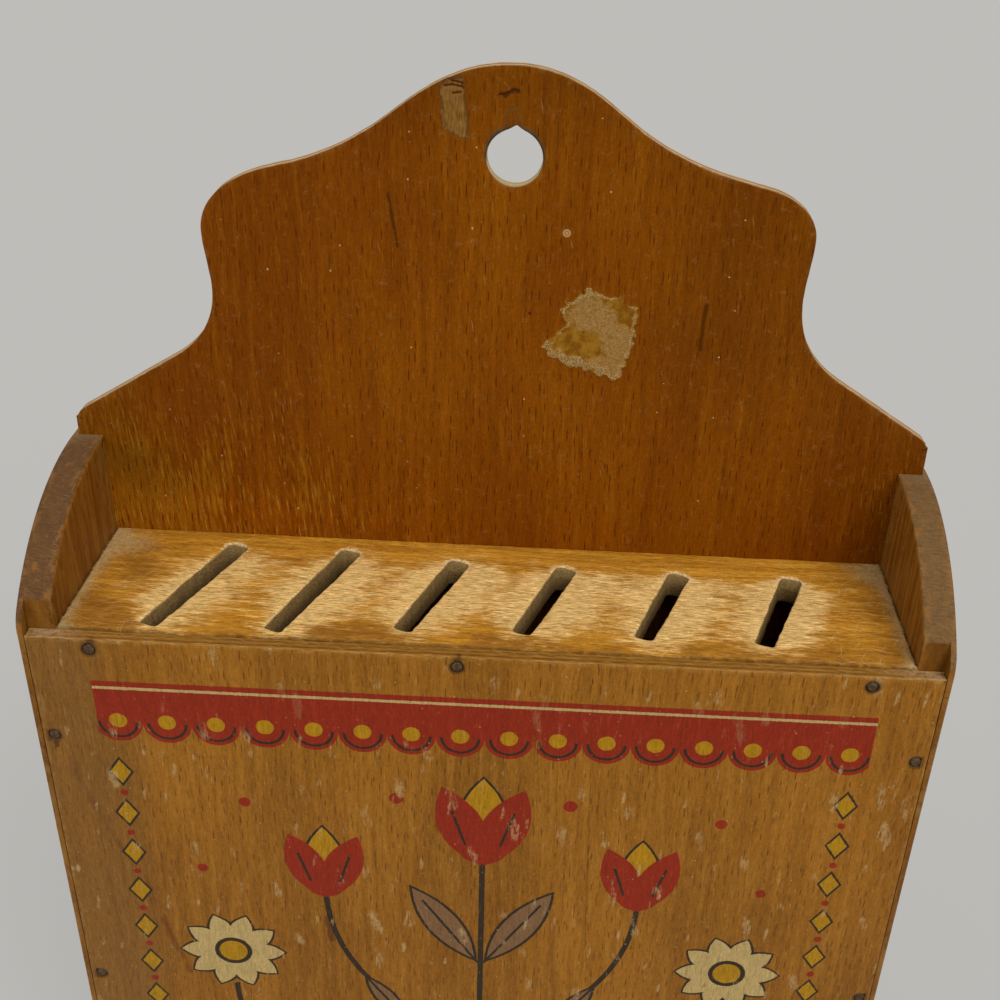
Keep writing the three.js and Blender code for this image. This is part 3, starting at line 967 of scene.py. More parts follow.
slottedLook = {
    "varnish": [(0.36, 0.145, 0.010), (0.54, 0.245, 0.024)],
    "wornWood": [(0.53, 0.315, 0.08), (0.83, 0.56, 0.23)],
    "gloss": 0.25,
    "rounding": 0.35,
    "slotRounding": 0.7,
    "slotHalfWidth": 2.9,
    "slotDepths": [(1.6, 0.0), (3.0, 0.05), (4.6, 0.0), (6.2, 0.06), (7.4, 0.0)],
    "hollow": 0.3,  # worn beside each slot by the blades
    "cornerDust": [(-104, 17), (106, 20)],
}


# Varnish worn down to pale fuzzy wood beside the slots, browner along the front
def wornFace(finish, wood, bare, fuzz, coarse):
    look = slottedLook
    brown = finish.mark("brown") + finish.sway(1.3, (7, 3, 5), 8.0, 3.0, 0.65)
    brown = (brown + (fuzz - 0.5) * 0.9 - bare * 0.3).ramp(0.3, 0.85)
    colour = finish.layers(
        finish.mix(wood.streaks.ramp(0.3, 0.7), *look["varnish"]),
        (bare * 0.95, finish.mix(fuzz.ramp(0.35, 0.65), *look["wornWood"])),
        (brown * 0.75, (0.24, 0.095, 0.012)),
    )
    shade = (fuzz - 0.5) * 2.2 + (coarse - 0.5) * 0.8 + (wood.mottle - 0.5) * 0.6 + 1.0
    dark = (0.17, 0.06, 0.006)
    return finish.layers(finish.scaled(colour, shade), (wood.flecks * 0.6, dark), (wood.tiny * 0.5, dark))


def slotWall(finish, frayed, lint, sawn, z):
    wall = finish.mix(sawn.ramp(0.35, 0.65), (0.12, 0.07, 0.026), (0.34, 0.215, 0.08))
    # Painted shade: deeper down the slot the wall darkens towards (0.09, 0.05, 0.018), from 2 to 8.5 mm below
    # the board's top
    return finish.layers(wall, ((slottedTop - z).ramp(2.0, 8.5) * 0.6, (0.09, 0.05, 0.018)),
                         (frayed * 0.3, finish.scaled((0.5, 0.34, 0.12), lint + 0.4)))


def slottedFinish():
    finish = Finish("slottedVarnish")
    x, y, z = finish.place()
    wood = Wood(finish, y, x, z, 21.0)
    patchy = finish.noise((8, 2.6, 5), 3.0, 3.0)
    fuzz = finish.noise((3.2, 0.3, 1), 4.0, 5.0, 0.75)
    coarse = finish.noise((6.5, 0.8, 1), 2.0, spot=finish.combine(x, y + x * 0.08, z))
    bare = finish.mark("worn") + (patchy - 0.5) * 1.1 + (fuzz - 0.5) * 0.7 + (coarse - 0.5) * 0.6
    bare = bare.ramp(0.18, 0.8)
    colour = wornFace(finish, wood, bare, fuzz, coarse)
    # loose fibres, most at the ends
    ends = abs(x).ramp(55, 108) * 0.6 + 0.4
    for turn, shift in ((0.2, 1.0), (1.1, 5.0), (-0.45, 9.0)):
        hair = finish.hairs(x, y, turn, finish.sway(3.5, 6, shift, 1.0, 0.5), (3.0, 8.5), (0.13, 4.0), shift)
        colour = finish.mix(hair * ends * 0.5, colour, (0.74, 0.5, 0.2))
    dusty = (finish.mark("dust") + finish.sway(1.3, 2, 6.0, 4.0, 0.7)).ramp(0.3, 1.15)
    seam = (insideX - abs(x)).ramp(0.8, 0.5).larger((y + insideY).ramp(0.36, 0.22) * 0.6)
    seam = seam * (finish.noise((2.5, 2.0, 2), 2.0).ramp(0.35, 0.55) * 0.6 + 0.4)
    # frayed pale where the blades' spines rub the slots' rear ends
    frayed = finish.mark("frayed")
    lint = finish.noise(0.7, 13.0, 3.0, 0.75)
    paleLint = finish.mix(lint.ramp(0.35, 0.65), (0.42, 0.28, 0.12), (0.82, 0.62, 0.34))
    upright = finish.facing()[2].ramp(0.72, 0.4)
    inSlot = upright * (insideY - 0.35 - abs(y)).ramp(0.0, 0.4) * (insideX - 0.3 - abs(x)).ramp(0.0, 0.4)
    sawn = finish.noise((0.8, 0.8, 0.3), 9.0, 3.0, 0.7)
    colour = finish.layers(
        colour,
        (dusty * 0.8, finish.scaled((0.46, 0.31, 0.135), (wood.mottle - 0.5) * 1.5 + 1.0)),
        (seam * 0.85, (0.035, 0.018, 0.007)),
        ((frayed + (lint - 0.5) * 1.6).ramp(0.25, 0.8) * 0.85, paleLint),
        (inSlot, slotWall(finish, frayed, lint, sawn, z)),
    )
    height = fuzz * 1.3 + patchy * 0.3 + coarse * 0.4 - wood.flecks * 0.4 + inSlot * sawn
    return finish.dress(height, 0.55, 0.16, colour=colour, roughness=0.5 + bare * 0.18 + dusty * 0.15,
                        gloss=slottedLook["gloss"], glossTint=(1.0, 0.75, 0.35))


# Straight line down the middle of each slot
def slotLines(slots):
    lines = []
    for loop in slots:
        middle = loop.mean(0)
        axes = np.linalg.eigh(np.cov((loop - middle).T))[1]
        along = axes[:, 1] * math.copysign(1, axes[1, 1])
        reach = ((loop - middle) @ along).max() - slottedLook["slotHalfWidth"]
        lines.append((middle - along * reach, middle + along * reach))
    return lines


# Narrower towards the front, where the saw stopped, and ragged along its sides
def wornSlot(loop, line):
    run = line[1] - line[0]
    share = np.clip((loop - line[0]) @ run / (run @ run), 0, 1)
    inwardsBy = 0.45 * (1 - share) ** 2 - 0.1 + 0.12 * lumps(loop, 1.4, 5)
    return loop + outwards(loop) * np.maximum(inwardsBy, -0.15)[:, None]


# What the blades and the years have done to the face, measured from the slots
class SlottedWear:
    def __init__(self, lines):
        self.lines = lines

    def toSlots(self, points):
        away = np.minimum.reduce([distanceToLine(points, line) for line in self.lines])
        return np.maximum(away - slottedLook["slotHalfWidth"], 0)

    def relief(self, points):
        hollow = slottedLook["hollow"] * bell(self.toSlots(points), 3.5) * (0.7 + 0.3 * lumps(points, 4, 2))
        fibres = 0.03 * lumps(points * (0.25, 1), 0.45, 3) + 0.03 * lumps(points * (0.35, 1), 1.0, 4)
        return np.maximum(hollow + fibres + 0.05, 0)

    def worn(self, points):
        u, v = points.T
        band = bell(self.toSlots(points - (2.6, 0)), 9.0) + 0.35 * bell(self.toSlots(points), 1.6)
        between = (0.46 + 0.14 * smoothStep(u, 0, 40)) * smoothStep(-np.abs(v + 1), -22, -6)
        fade = 0.75 + 0.25 * lumps(points, 14, 5)
        sides = smoothStep(u, -108, -80) * smoothStep(u + 2 * lumps(points, 5, 9), 95, 79)
        behind = 1 - 0.75 * smoothStep(v + 2 * lumps(points, 9, 8), 8, 19)
        return (0.75 * band + between) * fade * behind * (0.35 + 0.65 * sides)

    def brown(self, points):
        front = smoothStep(points[:, 1], -9, -23) * 0.65
        ends = smoothStep(np.abs(points[:, 0] - 3), 84, 104) * 0.45
        return front + ends + 0.3 * lumps(points, 11, 7)

    def frayed(self, points):
        share = np.zeros(len(points))
        for start, end in self.lines:
            along = (end - start) / np.hypot(*(end - start))
            away = np.maximum(lengthOf(points - end) - slottedLook["slotHalfWidth"], 0)
            share = np.maximum(share, smoothStep((points - end) @ along, -2.5, 1.0) * bell(away, 1.3))
        return share + 0.4 * bell(self.toSlots(points), 0.6) * (share < 0.4)

    def dust(self, points):
        corners = sum(bell(lengthOf(points - spot), 9) for spot in slottedLook["cornerDust"])
        seams = bell(insideX - np.abs(points[:, 0]), 4.2)
        return 0.8 * corners + seams + bell(points[:, 1] + insideY, 1.2) * 0.35


def makeSlottedBoard():
    look = slottedLook
    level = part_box("slotted_board")[1].z / mm
    loops = faceLoops("slotted_board", "top", level)
    lines = slotLines(loops[1:])
    wear = SlottedWear(lines)
    board = Board("slottedBoard", "top", level, solidWood)
    board.relief = wear.relief
    board.marks = {"worn": wear.worn, "brown": wear.brown, "dust": wear.dust, "frayed": wear.frayed}
    outline = refineLoop(loops[0], meshing["step"])
    wall = [(2.5, 0.0), (6.0, 0.0)]
    rings = [board.addRings(outline, edgeProfile(outline, solidWood, look["rounding"], wall, 11, 0.4, 0.02))]
    for seed, (loop, line) in enumerate(zip(loops[1:], lines), 15):
        slot = wornSlot(refineLoop(loop, 0.4), line)
        profile = edgeProfile(slot, solidWood, look["slotRounding"], look["slotDepths"], seed, 0.5, 0.1)
        rings.append(board.addRings(slot, profile))
    fine = [((0.5 - insideX, 0.45 - insideY), (insideX - 0.5, insideY - 0.45), 0.8)]
    board.fill([ring[0] for ring in rings], 0.0, fine)
    board.fill([ring[-1] for ring in rings], solidWood, turned=True)
    board.finish(slottedFinish(), "slotted_board", "slotted_board_varnish")


# Bottom board

def bareBeech():
    finish = Finish("bareBeech")
    x, y, z = finish.place()
    wood = Wood(finish, y, x, z, 1.0)
    dark = (0.3, 0.17, 0.07)
    colour = finish.mix(wood.streaks.ramp(0.3, 0.7), dark, (0.46, 0.29, 0.13))
    colour = finish.mix(wood.flecks * 0.5, colour, dark)
    return finish.dress(wood.fibres * 0.5 - wood.flecks, 0.4, 0.1, colour=colour, roughness=0.5, gloss=0.3)


def makeBottomBoard():
    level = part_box("bottom_board")[1].z / mm
    outline = refineLoop(faceLoops("bottom_board", "top", level)[0], 2.0)
    board = Board("bottomBoard", "top", level, solidWood)
    outer = board.addRings(outline, edgeProfile(outline, solidWood, 0.4, [(4.0, 0.0)], 31, 0.4, 0.02))
    board.fill([outer[0]], 0.0)
    board.fill([outer[-1]], solidWood, turned=True)
    board.finish(bareBeech(), "bottom_board", "bottom_board_wood")


# Front board

frontLook = {
    "varnish": [(0.195, 0.072, 0.006), (0.265, 0.102, 0.009), (0.32, 0.14, 0.018), (0.165, 0.055, 0.005)],
    "gloss": 0.25,
    "rounding": 0.35,
    "plyDepths": [(0.95, 0.02), (1.3, 0.12), (2.0, 0.08), (2.7, 0.12), (3.05, 0.02)],
    "dent": 0.16,  # the wood is pressed in round each nail
    "tears": [[(-102.1, 236.8), (-101.5, 238.6)], [(-115.3, 205.6), (-115.2, 203.2)],
              [(-7.6, 237.2), (-7.3, 238.9)]],
    "resin": [(-112, 199), (-108.5, 183), (-98, 155.5), (-88, 116)],
    "knot": [(-44.9, 142.0), (-44.3, 133.0)],
    "crack": [(28, 227.4), (31, 133.4)],
}
printLook = {
    "red": (0.215, 0.012, 0.006),
    "mustard": (0.33, 0.165, 0.004),
    "cream": (0.40, 0.285, 0.11),
    "taupe": (0.165, 0.085, 0.04),
    "black": (0.014, 0.013, 0.011),
    "bandTop": 226.0,
    "bandBottom": 212.5,
    "bandHalfWidth": 103.0,
    "scallop": 13.0,
    "borderAcross": 99.0,
    "borderRepeat": 15.0,
    "borderTop": 201.0,
    "borderBottom": 16.0,
    "stemWidth": 1.7,
    "leaves": [((1, 126), (21, 157), 11), ((1, 76), (33, 67), 10), ((60, 83), (88, 83), 9),
               ((35, 118), (22, 98), 7)],  # base, tip and width
    "spots": [((24, 190), 2.0), ((66, 186), 1.7), ((24, 74), 1.8), ((80, 160), 1.5), ((50, 64), 1.7)],
}


# Printed shapes are pairs of a distance and an ink, each printed over the ones before it

# A plain tulip, mirrored about its stem: x is its distance from the stem, z is above its base
def tulip(finish, x, z, size):
    outer = finish.leaf(x, z, (0.5 * size, -2 * size), (11.5 * size, 27 * size), 13 * size)
    middle = finish.leaf(x, z, (0, 2 * size), (0, 31 * size), 13 * size)
    cup = finish.disc(x, z - 6 * size, 7.5 * size)
    vein = finish.stroke(x, z, (5 * size, 6 * size), (8.6 * size, 18 * size), 0.8)
    return [(middle, "mustard"), (abs(middle) - 0.45, "black"), (outer.smaller(cup), "red"), (vein, "black")]


# A plain daisy of ten petals about its middle
def daisy(finish, x, z, radius):
    away = (x ** 2 + z ** 2).root()
    folded = finish.maths("PINGPONG", finish.maths("ARCTAN2", z, x) + 2 * math.pi, math.pi / 10)
    petalX, petalZ = (away * finish.maths(part, folded) for part in ("COSINE", "SINE"))
    petal = finish.leaf(petalX, petalZ, (radius * 0.2, 0), (radius, 0), radius * 0.44)
    return [(petal - 0.7, "black"), (petal + 0.15, "cream"), (away - radius * 0.36, "black"),
            (away - radius * 0.27, "mustard")]


def scallopedBand(finish, side, z):
    look = printLook
    top, bottom = look["bandTop"], look["bandBottom"]
    ends = side - look["bandHalfWidth"]
    across = look["scallop"] / 2 - finish.maths("PINGPONG", side, look["scallop"] / 2)
    scallops = finish.disc(across, z - bottom, look["scallop"] / 2)
    band = abs(z - (top + bottom) / 2) - (top - bottom) / 2
    beads = finish.disc(across, z - bottom - 0.5, 2.4)
    shapes = [(band.smaller(scallops), "red"), (beads, "mustard"),
              ((abs(scallops + 1.5) - 0.4).larger(z - bottom), "black"), (abs(z - top + 2.2) - 0.45, "cream")]
    return [(shape.larger(ends), ink) for shape, ink in shapes]


# Lozenges and dots down each side
def sideBorder(finish, side, z):
    look = printLook
    top, bottom = look["borderTop"], look["borderBottom"]
    ends = abs(z - (top + bottom) / 2) - (top - bottom) / 2
    across = side - look["borderAcross"]
    repeat = finish.maths("PINGPONG", z, look["borderRepeat"] / 2)
    lozenge = (abs(across) / 3.6 + repeat / 5.4 - 1) * 3
    shapes = [(lozenge, "mustard"), (abs(lozenge + 0.35) - 0.35, "black"),
              (finish.disc(across, look["borderRepeat"] / 2 - repeat, 1.1), "red")]
    return [(shape.larger(ends), ink) for shape, ink in shapes]


def flowerPot(side, z):
    pot = (side - 17 - (z - 30) * 0.22).larger(abs(z - 41) - 15)
    stripe = abs(z - 50.5)
    return [(pot, "taupe"), ((stripe - 3.2).larger(pot), "red"),
            ((abs(stripe - 4.6) - 0.5).larger(pot), "black"), (abs(pot) - 0.5, "black")]


# The upright stem and two that leave it as quarter rings and end upright
def stemsAndLeaves(finish, side, z):
    half = printLook["stemWidth"] / 2
    stems = (side - half).larger(abs(z - 113) - 57)
    for (endX, endZ), radius in (((45, 152), 61), ((74, 112), 80)):
        ring = abs(finish.disc(side - (endX - radius), z - endZ, radius)) - half
        stems = stems.smaller(ring.larger(z - endZ).larger(-side))
    shapes = [(stems, "black")]
    for base, tip, width in printLook["leaves"]:
        leaf = finish.leaf(side, z, base, tip, width)
        middle = tuple(base[k] + (tip[k] - base[k]) * 0.8 for k in (0, 1))
        vein = finish.stroke(side, z, base, middle, 0.8)
        shapes += [(leaf, "black"), (leaf + 0.9, "taupe"), (vein, "black")]
    return shapes


# Traditional folk flowers under a scalloped band, the same on both sides of the middle
def printFlowers(finish, x, z, colour):
    side = abs(x)
    shapes = scallopedBand(finish, side, z) + sideBorder(finish, side, z) + flowerPot(side, z)
    shapes += stemsAndLeaves(finish, side, z)
    shapes += tulip(finish, side, z - 168, 1.0) + tulip(finish, abs(side - 45), z - 152, 0.85)
    shapes += daisy(finish, side - 74, z - 126, 15.5)
    shapes += [(finish.disc(side - u, z - v, size), "red") for (u, v), size in printLook["spots"]]
    return finish.layers(colour, *[(shape.ramp(0.09, -0.09), printLook[ink]) for shape, ink in shapes])


# Varnished wood under the print, browner at the left, with a resin streak and a small knot
def frontWood(finish, wood, x, z):
    look = frontLook
    colour = wood.stained(look["varnish"], 0.4, 0.45)
    for start, end in zip(look["resin"], look["resin"][1:]):
        resin = finish.stroke(x, z, start, end) + (wood.streaks - 0.5) * 3.5
        resin = resin.ramp(1.5, 0.2) * finish.noise((3, 3, 9), 4.0, 2.0, 0.5).ramp(0.3, 0.5)
        colour = finish.mix(resin * 0.65, colour, (0.12, 0.026, 0.004))
    knot = finish.stroke(x, z, *look["knot"]) + (wood.fibres - 0.5) * 2.0
    colour = finish.mix(knot.ramp(1.5, 0.6) * 0.75, colour, (0.085, 0.024, 0.005))
    colour = wood.flecked(colour, (0.125, 0.042, 0.004), (0.42, 0.25, 0.08))
    leftEnd = finish.sway(1.2, (9, 9, 30), 8.0, 3.0) + x.ramp(-78, -112)
    return finish.mix(leftEnd.ramp(0.2, 1.0) * 0.65, colour, (0.15, 0.07, 0.018))


# The front's wood with the print on it, worn thin in places
def printedFace(finish, wood, onFront, x, z):
    colour = frontWood(finish, wood, x, z)
    shaky = finish.sway(0.35, 1.1, 22.0)
    thin = finish.noise((7, 7, 13), 17.0, 4.0, 0.65).ramp(0.66, 0.74)
    thin = thin.larger(finish.strokes(x, z, (4.2, 4.2), (0.4, 0.4), 12.2, 0.35))
    shown = 0.96 - thin * 0.6 - wood.fibres.ramp(0.66, 0.82) * 0.25
    return finish.mix(shown * onFront, colour, printFlowers(finish, x + shaky, z + shaky, colour))


def frontScuffs(finish, wood, x, z):
    scuffs = finish.strokes(x + z * 0.12, z, (13, 19), (2.3, 6.0), 3.3, 0.7)
    scuffs = scuffs.larger(finish.strokes(x - z * 0.1, z, (7, 11), (0.9, 3.4), 8.3, 0.5))
    rubbing = finish.noise((0.7, 0.7, 1.1), 31.0, 3.0, 0.75) + finish.sway(1.0, (3, 3, 4), 7.0, 2.0, 0.5)
    return (scuffs * 0.85 + rubbing * 1.5 + (wood.fibres - 0.5) * 1.4 - 1.12).ramp(0.0, 0.85)


# Scratched plies with loose hairs, powdery at the corners
def frontEdge(finish, scratch, x, y):
    edge = finish.mix(plies(finish, y + outsideY), (0.19, 0.08, 0.010), (0.27, 0.122, 0.019))
    edge = finish.scaled(edge, (scratch - 0.5) * 2.2 + 1.0)
    edge = finish.mix(scratch.ramp(0.6, 0.75) * 0.6, edge, (0.44, 0.29, 0.1))
    for turn, shift in ((0.25, 3.0), (-0.4, 6.0)):
        hair = finish.hairs(x, y, turn, 0.0, (1.3, 5.0), (0.09, 2.0), shift)
        edge = finish.mix(hair * 0.6, edge, (0.48, 0.32, 0.12))
    powder = finish.noise(2, 5.0, 3.0, 0.7).ramp(0.35, 0.6) * 0.7
    return finish.mix(abs(x).ramp(100, 116) * powder, edge, (0.4, 0.28, 0.16))


def frontFinish():
    finish = Finish("frontVarnish")
    x, y, z = finish.place()
    wood = Wood(finish, x, z, y, 41.0)
    onFront = y.ramp(0.55 - outsideY, 0.15 - outsideY)
    scuffs = frontScuffs(finish, wood, x, z)
    inBand = abs(z - 219).ramp(10, 7) * onFront
    specks = finish.strokes(x, z, (7.5, 7.5), (0.3, 0.34), 14.4, 0.45)
    crack = finish.stroke(x + (wood.fibres - 0.5) * 1.2, z, *frontLook["crack"])
    scratch = finish.noise((4, 0.22, 0.6), 14.0, 3.0, 0.7, finish.combine(x, y + x * 0.05, z))
    facingY = finish.facing()[1]
    edge = finish.mark("edge")
    worn = edge * facingY.ramp(0.3, 0.6) * finish.noise(3, 11.0, 3.0).ramp(0.4, 0.6)
    arris = edge * z.ramp(frontTop - 1.3, frontTop - 0.6) * y.ramp(0.85 - outsideY, 0.45 - outsideY)
    colour = finish.layers(
        finish.scaled(printedFace(finish, wood, onFront, x, z), wood.shade(0.75)),
        (wood.flecks * 0.3, (0.085, 0.024, 0.003)),
        (scuffs * (0.66 - inBand * 0.48), (0.42, 0.285, 0.13)),
        (specks * 0.6, (0.46, 0.31, 0.14)),
        (crack.ramp(0.28, 0.08) * 0.35, (0.05, 0.016, 0.003)),
        (facingY.ramp(0.75, 0.45), frontEdge(finish, scratch, x, y)),
        (worn * 0.25, (0.36, 0.2, 0.06)),
        (arris * scratch.ramp(0.45, 0.65) * 0.25, (0.46, 0.3, 0.11)),
        (finish.mark("pressed") * 0.8, (0.045, 0.02, 0.008)),
    )
    height = wood.fibres - wood.flecks * 0.8 + scuffs * 0.5 + wood.mottle * 0.5
    roughness = 0.48 + scuffs * 0.2 + (wood.zones - 0.5) * 0.12
    return finish.dress(height, 0.35, 0.12, colour=colour, roughness=roughness, gloss=frontLook["gloss"],
                        glossTint=(1.0, 0.7, 0.3))


def makeFrontBoard():
    look = frontLook
    level = -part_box("front_board")[0].y / mm
    loops = faceLoops("front_board", "front", level)
    recesses = recessLoops(loops[1:], 0.4)
    centres = np.array([middleOf(loop) for loop in recesses])

    def toTears(points):
        return [distanceToLine(points, tear) + 0.1 * lumps(points, 0.6, 3) for tear in look["tears"]]

    def relief(points):
        depth = look["dent"] * bell(np.maximum(toNearest(points, centres) - 1.7, 0), 0.9)
        return depth + sum(0.45 * smoothStep(away, 0.75, 0.35) for away in toTears(points))

    def pressed(points):
        ring = smoothStep(toNearest(points, centres) + 0.2 * lumps(points, 0.9, 6), 2.6, 1.9)
        return np.maximum.reduce([ring] + [smoothStep(away, 0.9, 0.5) for away in toTears(points)])

    board = Board("frontPlywood", "front", level, plywood)
    board.relief = relief
    board.marks = {"pressed": pressed}
    outline = cutPlywood(refineLoop(loops[0], 1.0), 0.08, 8)
    outer = board.addRings(outline, edgeProfile(outline, plywood, look["rounding"], look["plyDepths"], 41))
    board.fill([outer[0]] + board.sink(recesses), 0.0, patchesRound(centres, 4.2, 0.5))
    board.fill([outer[-1]], plywood, turned=True)
    board.finish(frontFinish(), "front_board", "front_board_varnish")


# Side panels

sideLook = {
    "varnish": [(0.155, 0.05, 0.004), (0.245, 0.1, 0.012)],
    "topLeft": (0.098, 0.046, 0.018),  # the curved tops are worn bare and grey
    "topRight": (0.135, 0.073, 0.028),
    "gloss": 0.22,
    "lip": 1.6,  # left outside the plywood's seats
    "rounding": 0.75,
    "lipRounding": 0.5,
    "seatRounding": 0.25,  # tight against the plywood
    "dent": 0.15,
}


def wornTop(finish, wood, cross, x, y):
    blotch = finish.noise((4, 5, 5), 6.0, 3.0)
    colour = finish.layers(
        finish.mix(x.ramp(-1, 1), sideLook["topLeft"], sideLook["topRight"]),
        (blotch.ramp(0.58, 0.7) * 0.6, (0.21, 0.085, 0.017)),
        (y.ramp(17, 27) * 0.6, (0.23, 0.145, 0.062)),
    )
    colour = finish.scaled(colour, (cross - 0.5) * 1.3 + (wood.mottle - 0.5) * 0.8 + 1.0)
    hairs = finish.strokes(y + x * 0.3, x - y * 0.2, (1.6, 4.0), (0.09, 1.3), 3.0, 0.5)
    return finish.mix(hairs * 0.45, colour, (0.36, 0.2, 0.09))


def sideFinish():
    finish = Finish("sideVarnish")
    x, y, z = finish.place()
    wood = Wood(finish, y, z, x, 51.0)
    backCorner = y.ramp(12, 24) * finish.noise((0.8, 0.8, 7), 2.0).ramp(0.35, 0.65)
    colour = finish.mix(wood.streaks.ramp(0.3, 0.7), *sideLook["varnish"])
    colour = finish.mix(backCorner * 0.5, colour, (0.24, 0.13, 0.03))
    colour = finish.scaled(colour, wood.shade(0.6) - y.ramp(-18, -25) * 0.2)
    colour = wood.flecked(colour, (0.06, 0.015, 0.002), (0.3, 0.17, 0.05))
    # the front end of the top keeps its varnish
    facing = finish.facing()
    up = facing[0].ramp(0.8, 0.5) * z.ramp(slottedTop - 2, slottedTop + 4) * (facing[2] * 2.5).ramp(0.3, 0.9)
    cross = finish.noise((2.8, 0.4, 0.6), 3.0, 3.0, 0.7, finish.combine(x, y + x * 0.15, z))
    arris = finish.mark("edge") * finish.noise((2, 4, 4), 5.0, 3.0, 0.65).ramp(0.45, 0.6)
    colour = finish.mix(up, colour, wornTop(finish, wood, cross, x, y))
    colour = finish.mix(arris * 0.45, colour, (0.26, 0.118, 0.03))
    height = wood.fibres * 0.7 + cross * 0.6 - wood.flecks * 0.6
    return finish.dress(height, 0.4, 0.12, colour=colour, roughness=0.5 + up * 0.25, gloss=sideLook["gloss"],
                        glossTint=(1.0, 0.7, 0.35))


def makeSidePanel(facing, seed, finish):
    look = sideLook
    nodeName = "side_panel_" + facing
    loops = faceLoops(nodeName, facing, outsideX)
    outline = refineLoop(loops[0], meshing["step"])
    recesses = recessLoops(loops[1:], 0.4)
    centres = np.array([middleOf(loop) for loop in recesses])
    board = Board("sidePanel" + facing.capitalize(), facing, outsideX, solidWood)
    board.relief = lambda points: look["dent"] * bell(np.maximum(toNearest(points, centres) - 1.7, 0), 0.9)
    # the outline without the lip; points that fall together at the seats' corners are one point
    seated = np.column_stack([np.clip(outline[:, 0], -insideY, insideY), outline[:, 1]])
    different = lengthOf(seated - np.roll(seated, 1, axis=0)) > 0.05
    corners = seated[different]
    group = np.cumsum(different) - 1
    seated = corners[group]
    rounding = look["rounding"] * (1 + 0.4 * lumps(outline, 8, 3 + seed) + 0.2 * lumps(outline, 2, 5 + seed))
    lip = np.minimum(rounding, look["lipRounding"])
    rounding = np.where(np.abs(seated[:, 0]) > insideY - 0.01, look["seatRounding"], rounding)
    lipProfile = [(lip + meshing["shelf"], 0.0, 0.0)]
    lipProfile += [(lip * inwards, lip * down, 1.0) for inwards, down in quarterTurn]
    lipProfile += [(0.0, look["lip"] - 0.15, 0.5), (0.0, look["lip"], 0.5)]
    wallProfile = [(0.0, look["lip"], 0.4)]
    wallProfile += [(np.abs(0.03 * lumps(outline, 3, depth)), depth, 0.2) for depth in (2.4, 4.0, 6.0)]
    wallProfile += [(rounding * inwards, solidWood - rounding * down, 1.0)
                    for inwards, down in quarterTurn[::-1]]
    wallProfile += [(rounding + meshing["shelf"], solidWood, 0.0)]
    upper = board.addRings(outline, lipProfile)
    lower = board.addRings(seated, wallProfile, outwards(corners)[group])
    board.joinRings([upper[-1], lower[0]])  # across the seats' floors; elsewhere nothing is between them
    board.fill([upper[0]] + board.sink(recesses), 0.0, patchesRound(centres, 3.5, 0.6))
    board.fill([lower[-1]], solidWood, turned=True, plain=True)
    board.finish(finish, nodeName, "side_panel_varnish")


# Nails

nailLook = {
    "Head Radius": 1.48 * mm,
    "Head Thickness": 0.7 * mm,
    "Shank Radius": 0.75 * mm,
    "Dents": 0.25 * mm,
    "Sides": 20,
    "Seed": 4,
}
nailSetting = {
    "sunk": 0.12,  # heads lie this far below the wood
    "plywoodLength": 15.8,
    "sideLength": 21.8,
    "sharp": 50,  # degrees
}


def nailFinish():
    finish = Finish("nailSteel")
    finish.place()
    rust = finish.noise(0.9, 2.0, 3.0)
    colour = finish.mix(rust.ramp(0.4, 0.6), (0.058, 0.027, 0.010), (0.1, 0.064, 0.032))
    return finish.dress(finish.noise(0.25, 4.0), 0.4, 0.06, colour=colour, roughness=0.5 + rust * 0.25,
                        metallic=0.3, gloss=0.3)


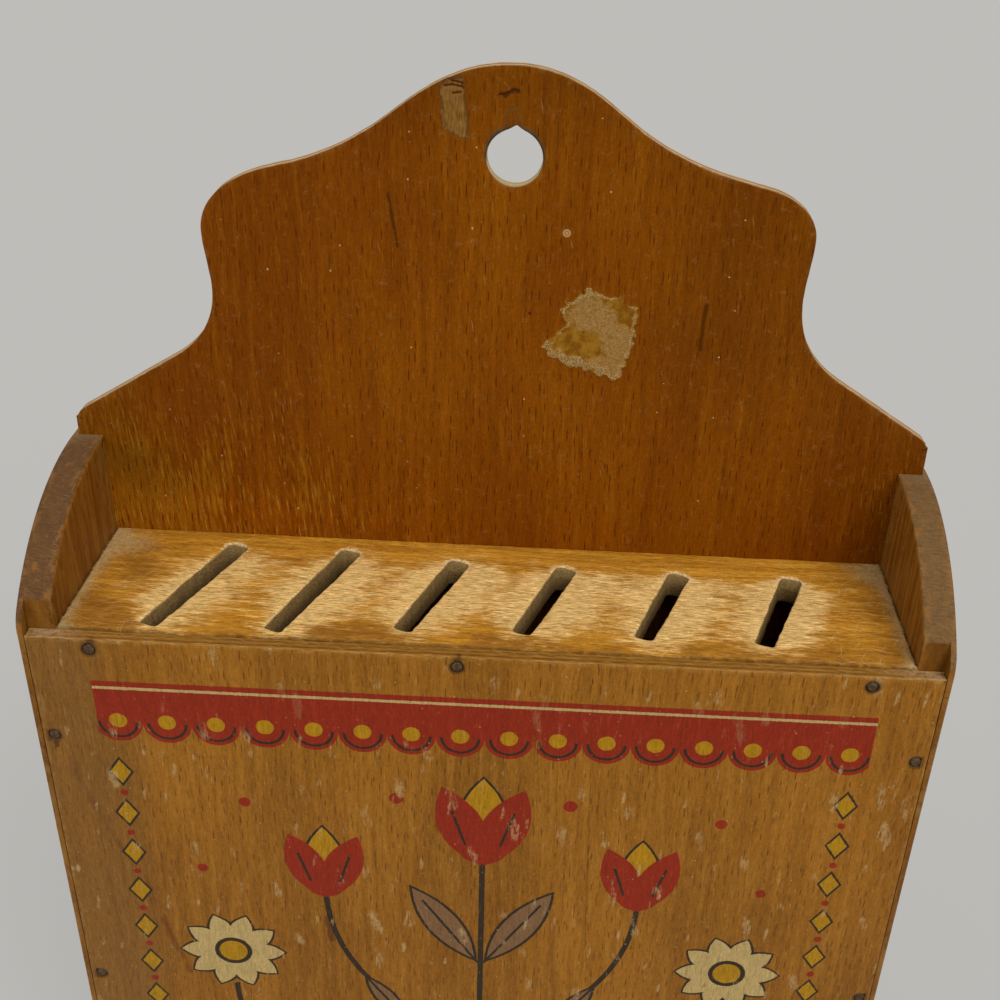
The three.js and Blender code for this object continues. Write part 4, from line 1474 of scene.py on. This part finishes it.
# One recipe for every nail: rings round its axis, from the top of its head to its point
def nailRecipe():
    recipe = Recipe("nail", {"Head Radius": "Float", "Head Thickness": "Float", "Shank Radius": "Float",
                             "Length": "Float", "Sides": "Int", "Dents": "Float", "Seed": "Int",
                             "Steel": "Material"})
    head, thickness, shank, length, sides = (
        recipe.inputs[name] for name in ("Head Radius", "Head Thickness", "Shank Radius", "Length", "Sides"))
    reach = [0.0, head * 0.4, head * 0.72, head * 0.93, head, head, head * 0.9, shank, shank, 0.0]
    drop = [0.0, *[thickness * share for share in (0.02, 0.1, 0.28, 0.5, 0.85)], thickness, thickness,
            length - shank * 3, length]
    around = sides + 1
    grid = recipe.node("GeometryNodeMeshGrid", None, {"Vertices X": len(reach), "Vertices Y": around})
    number = recipe.node("GeometryNodeInputIndex")
    ring = recipe.maths("FLOOR", (number + 0.5) / around)
    angle = (number - ring * around) * (2 * math.pi) / sides
    across = recipe.choose(ring, reach)
    x, y = (across * recipe.maths(part, angle) for part in ("COSINE", "SINE"))
    spot = recipe.combine(x, y, -recipe.choose(ring, drop))
    nail = recipe.node("GeometryNodeSetPosition", None, {"Geometry": grid, "Position": spot})
    nail = recipe.node("GeometryNodeMergeByDistance", None, {"Geometry": nail, "Distance": 0.01 * mm})
    # turned to its way out of the wood, a little askew
    way = recipe.node("GeometryNodeInputNamedAttribute", {"data_type": "FLOAT_VECTOR"}, {"Name": "outwards"})
    turned = recipe.node("FunctionNodeAlignRotationToVector", {"axis": "Z"}, {"Vector": way})
    tilt = recipe.node("FunctionNodeRandomValue", {"data_type": "FLOAT_VECTOR"},
                       {0: (-0.03, -0.03, 0.0), 1: (0.03, 0.03, 6.28), "Seed": recipe.inputs["Seed"]})
    turned = recipe.node("FunctionNodeRotateRotation", {"rotation_space": "LOCAL"},
                         {"Rotation": turned, "Rotate By": tilt})
    nails = recipe.node("GeometryNodeInstanceOnPoints", None,
                        {"Points": recipe.inputs["Geometry"], "Instance": nail, "Rotation": turned})
    nails = recipe.node("GeometryNodeRealizeInstances", None, {"Geometry": nails})
    position = recipe.node("GeometryNodeInputPosition")
    dents = recipe.node("ShaderNodeTexNoise", None, {"Vector": position, "Scale": 900.0, "Detail": 1.0}) - 0.7
    inwards = recipe.scaled(way, dents.smaller(0) * recipe.inputs["Dents"])
    nails = recipe.node("GeometryNodeSetPosition", None, {"Geometry": nails, "Offset": inwards})
    recipe.finish(recipe.node("GeometryNodeSetMaterial", None,
                              {"Geometry": nails, "Material": recipe.inputs["Steel"]}))
    return recipe


# Each nail points along its node's longest side, its head on the outside of the box
def makeNails(recipe, name, start, length, steel):
    nodeNames = [node for node in nodes if node.startswith(start)]
    spots, ways = [], []
    for nodeName in nodeNames:
        low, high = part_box(nodeName)
        size = high - low
        axis = max(range(3), key=lambda k: size[k])
        way = Vector((0, 0, 0))
        way[axis] = math.copysign(1, (low + high)[axis])
        spots.append((low + high) / 2 + way * (size[axis] / 2 - nailSetting["sunk"] * mm))
        ways.append(way)
    points = bpy.data.meshes.new(name)
    points.from_pydata(spots, [], [])
    mark = points.attributes.new("outwards", "FLOAT_VECTOR", "POINT")
    mark.data.foreach_set("vector", np.array(ways).ravel())
    piece = recipe.apply(name, points, {**nailLook, "Length": length * mm, "Steel": steel})
    settle(piece, nodeNames, nailSetting["sharp"])


addCamera()
addStudio()
print("camera, light and floor are in place")
makeBackboard()
makeSlottedBoard()
makeBottomBoard()
makeFrontBoard()
panelFinish = sideFinish()
makeSidePanel("right", 1, panelFinish)
makeSidePanel("left", -1, panelFinish)
steel = nailFinish()
recipe = nailRecipe()
makeNails(recipe, "frontNails", "front_nail", nailSetting["plywoodLength"], steel)
makeNails(recipe, "backNails", "back_nail", nailSetting["plywoodLength"], steel)
makeNails(recipe, "sideNails", "side_nail", nailSetting["sideLength"], steel)
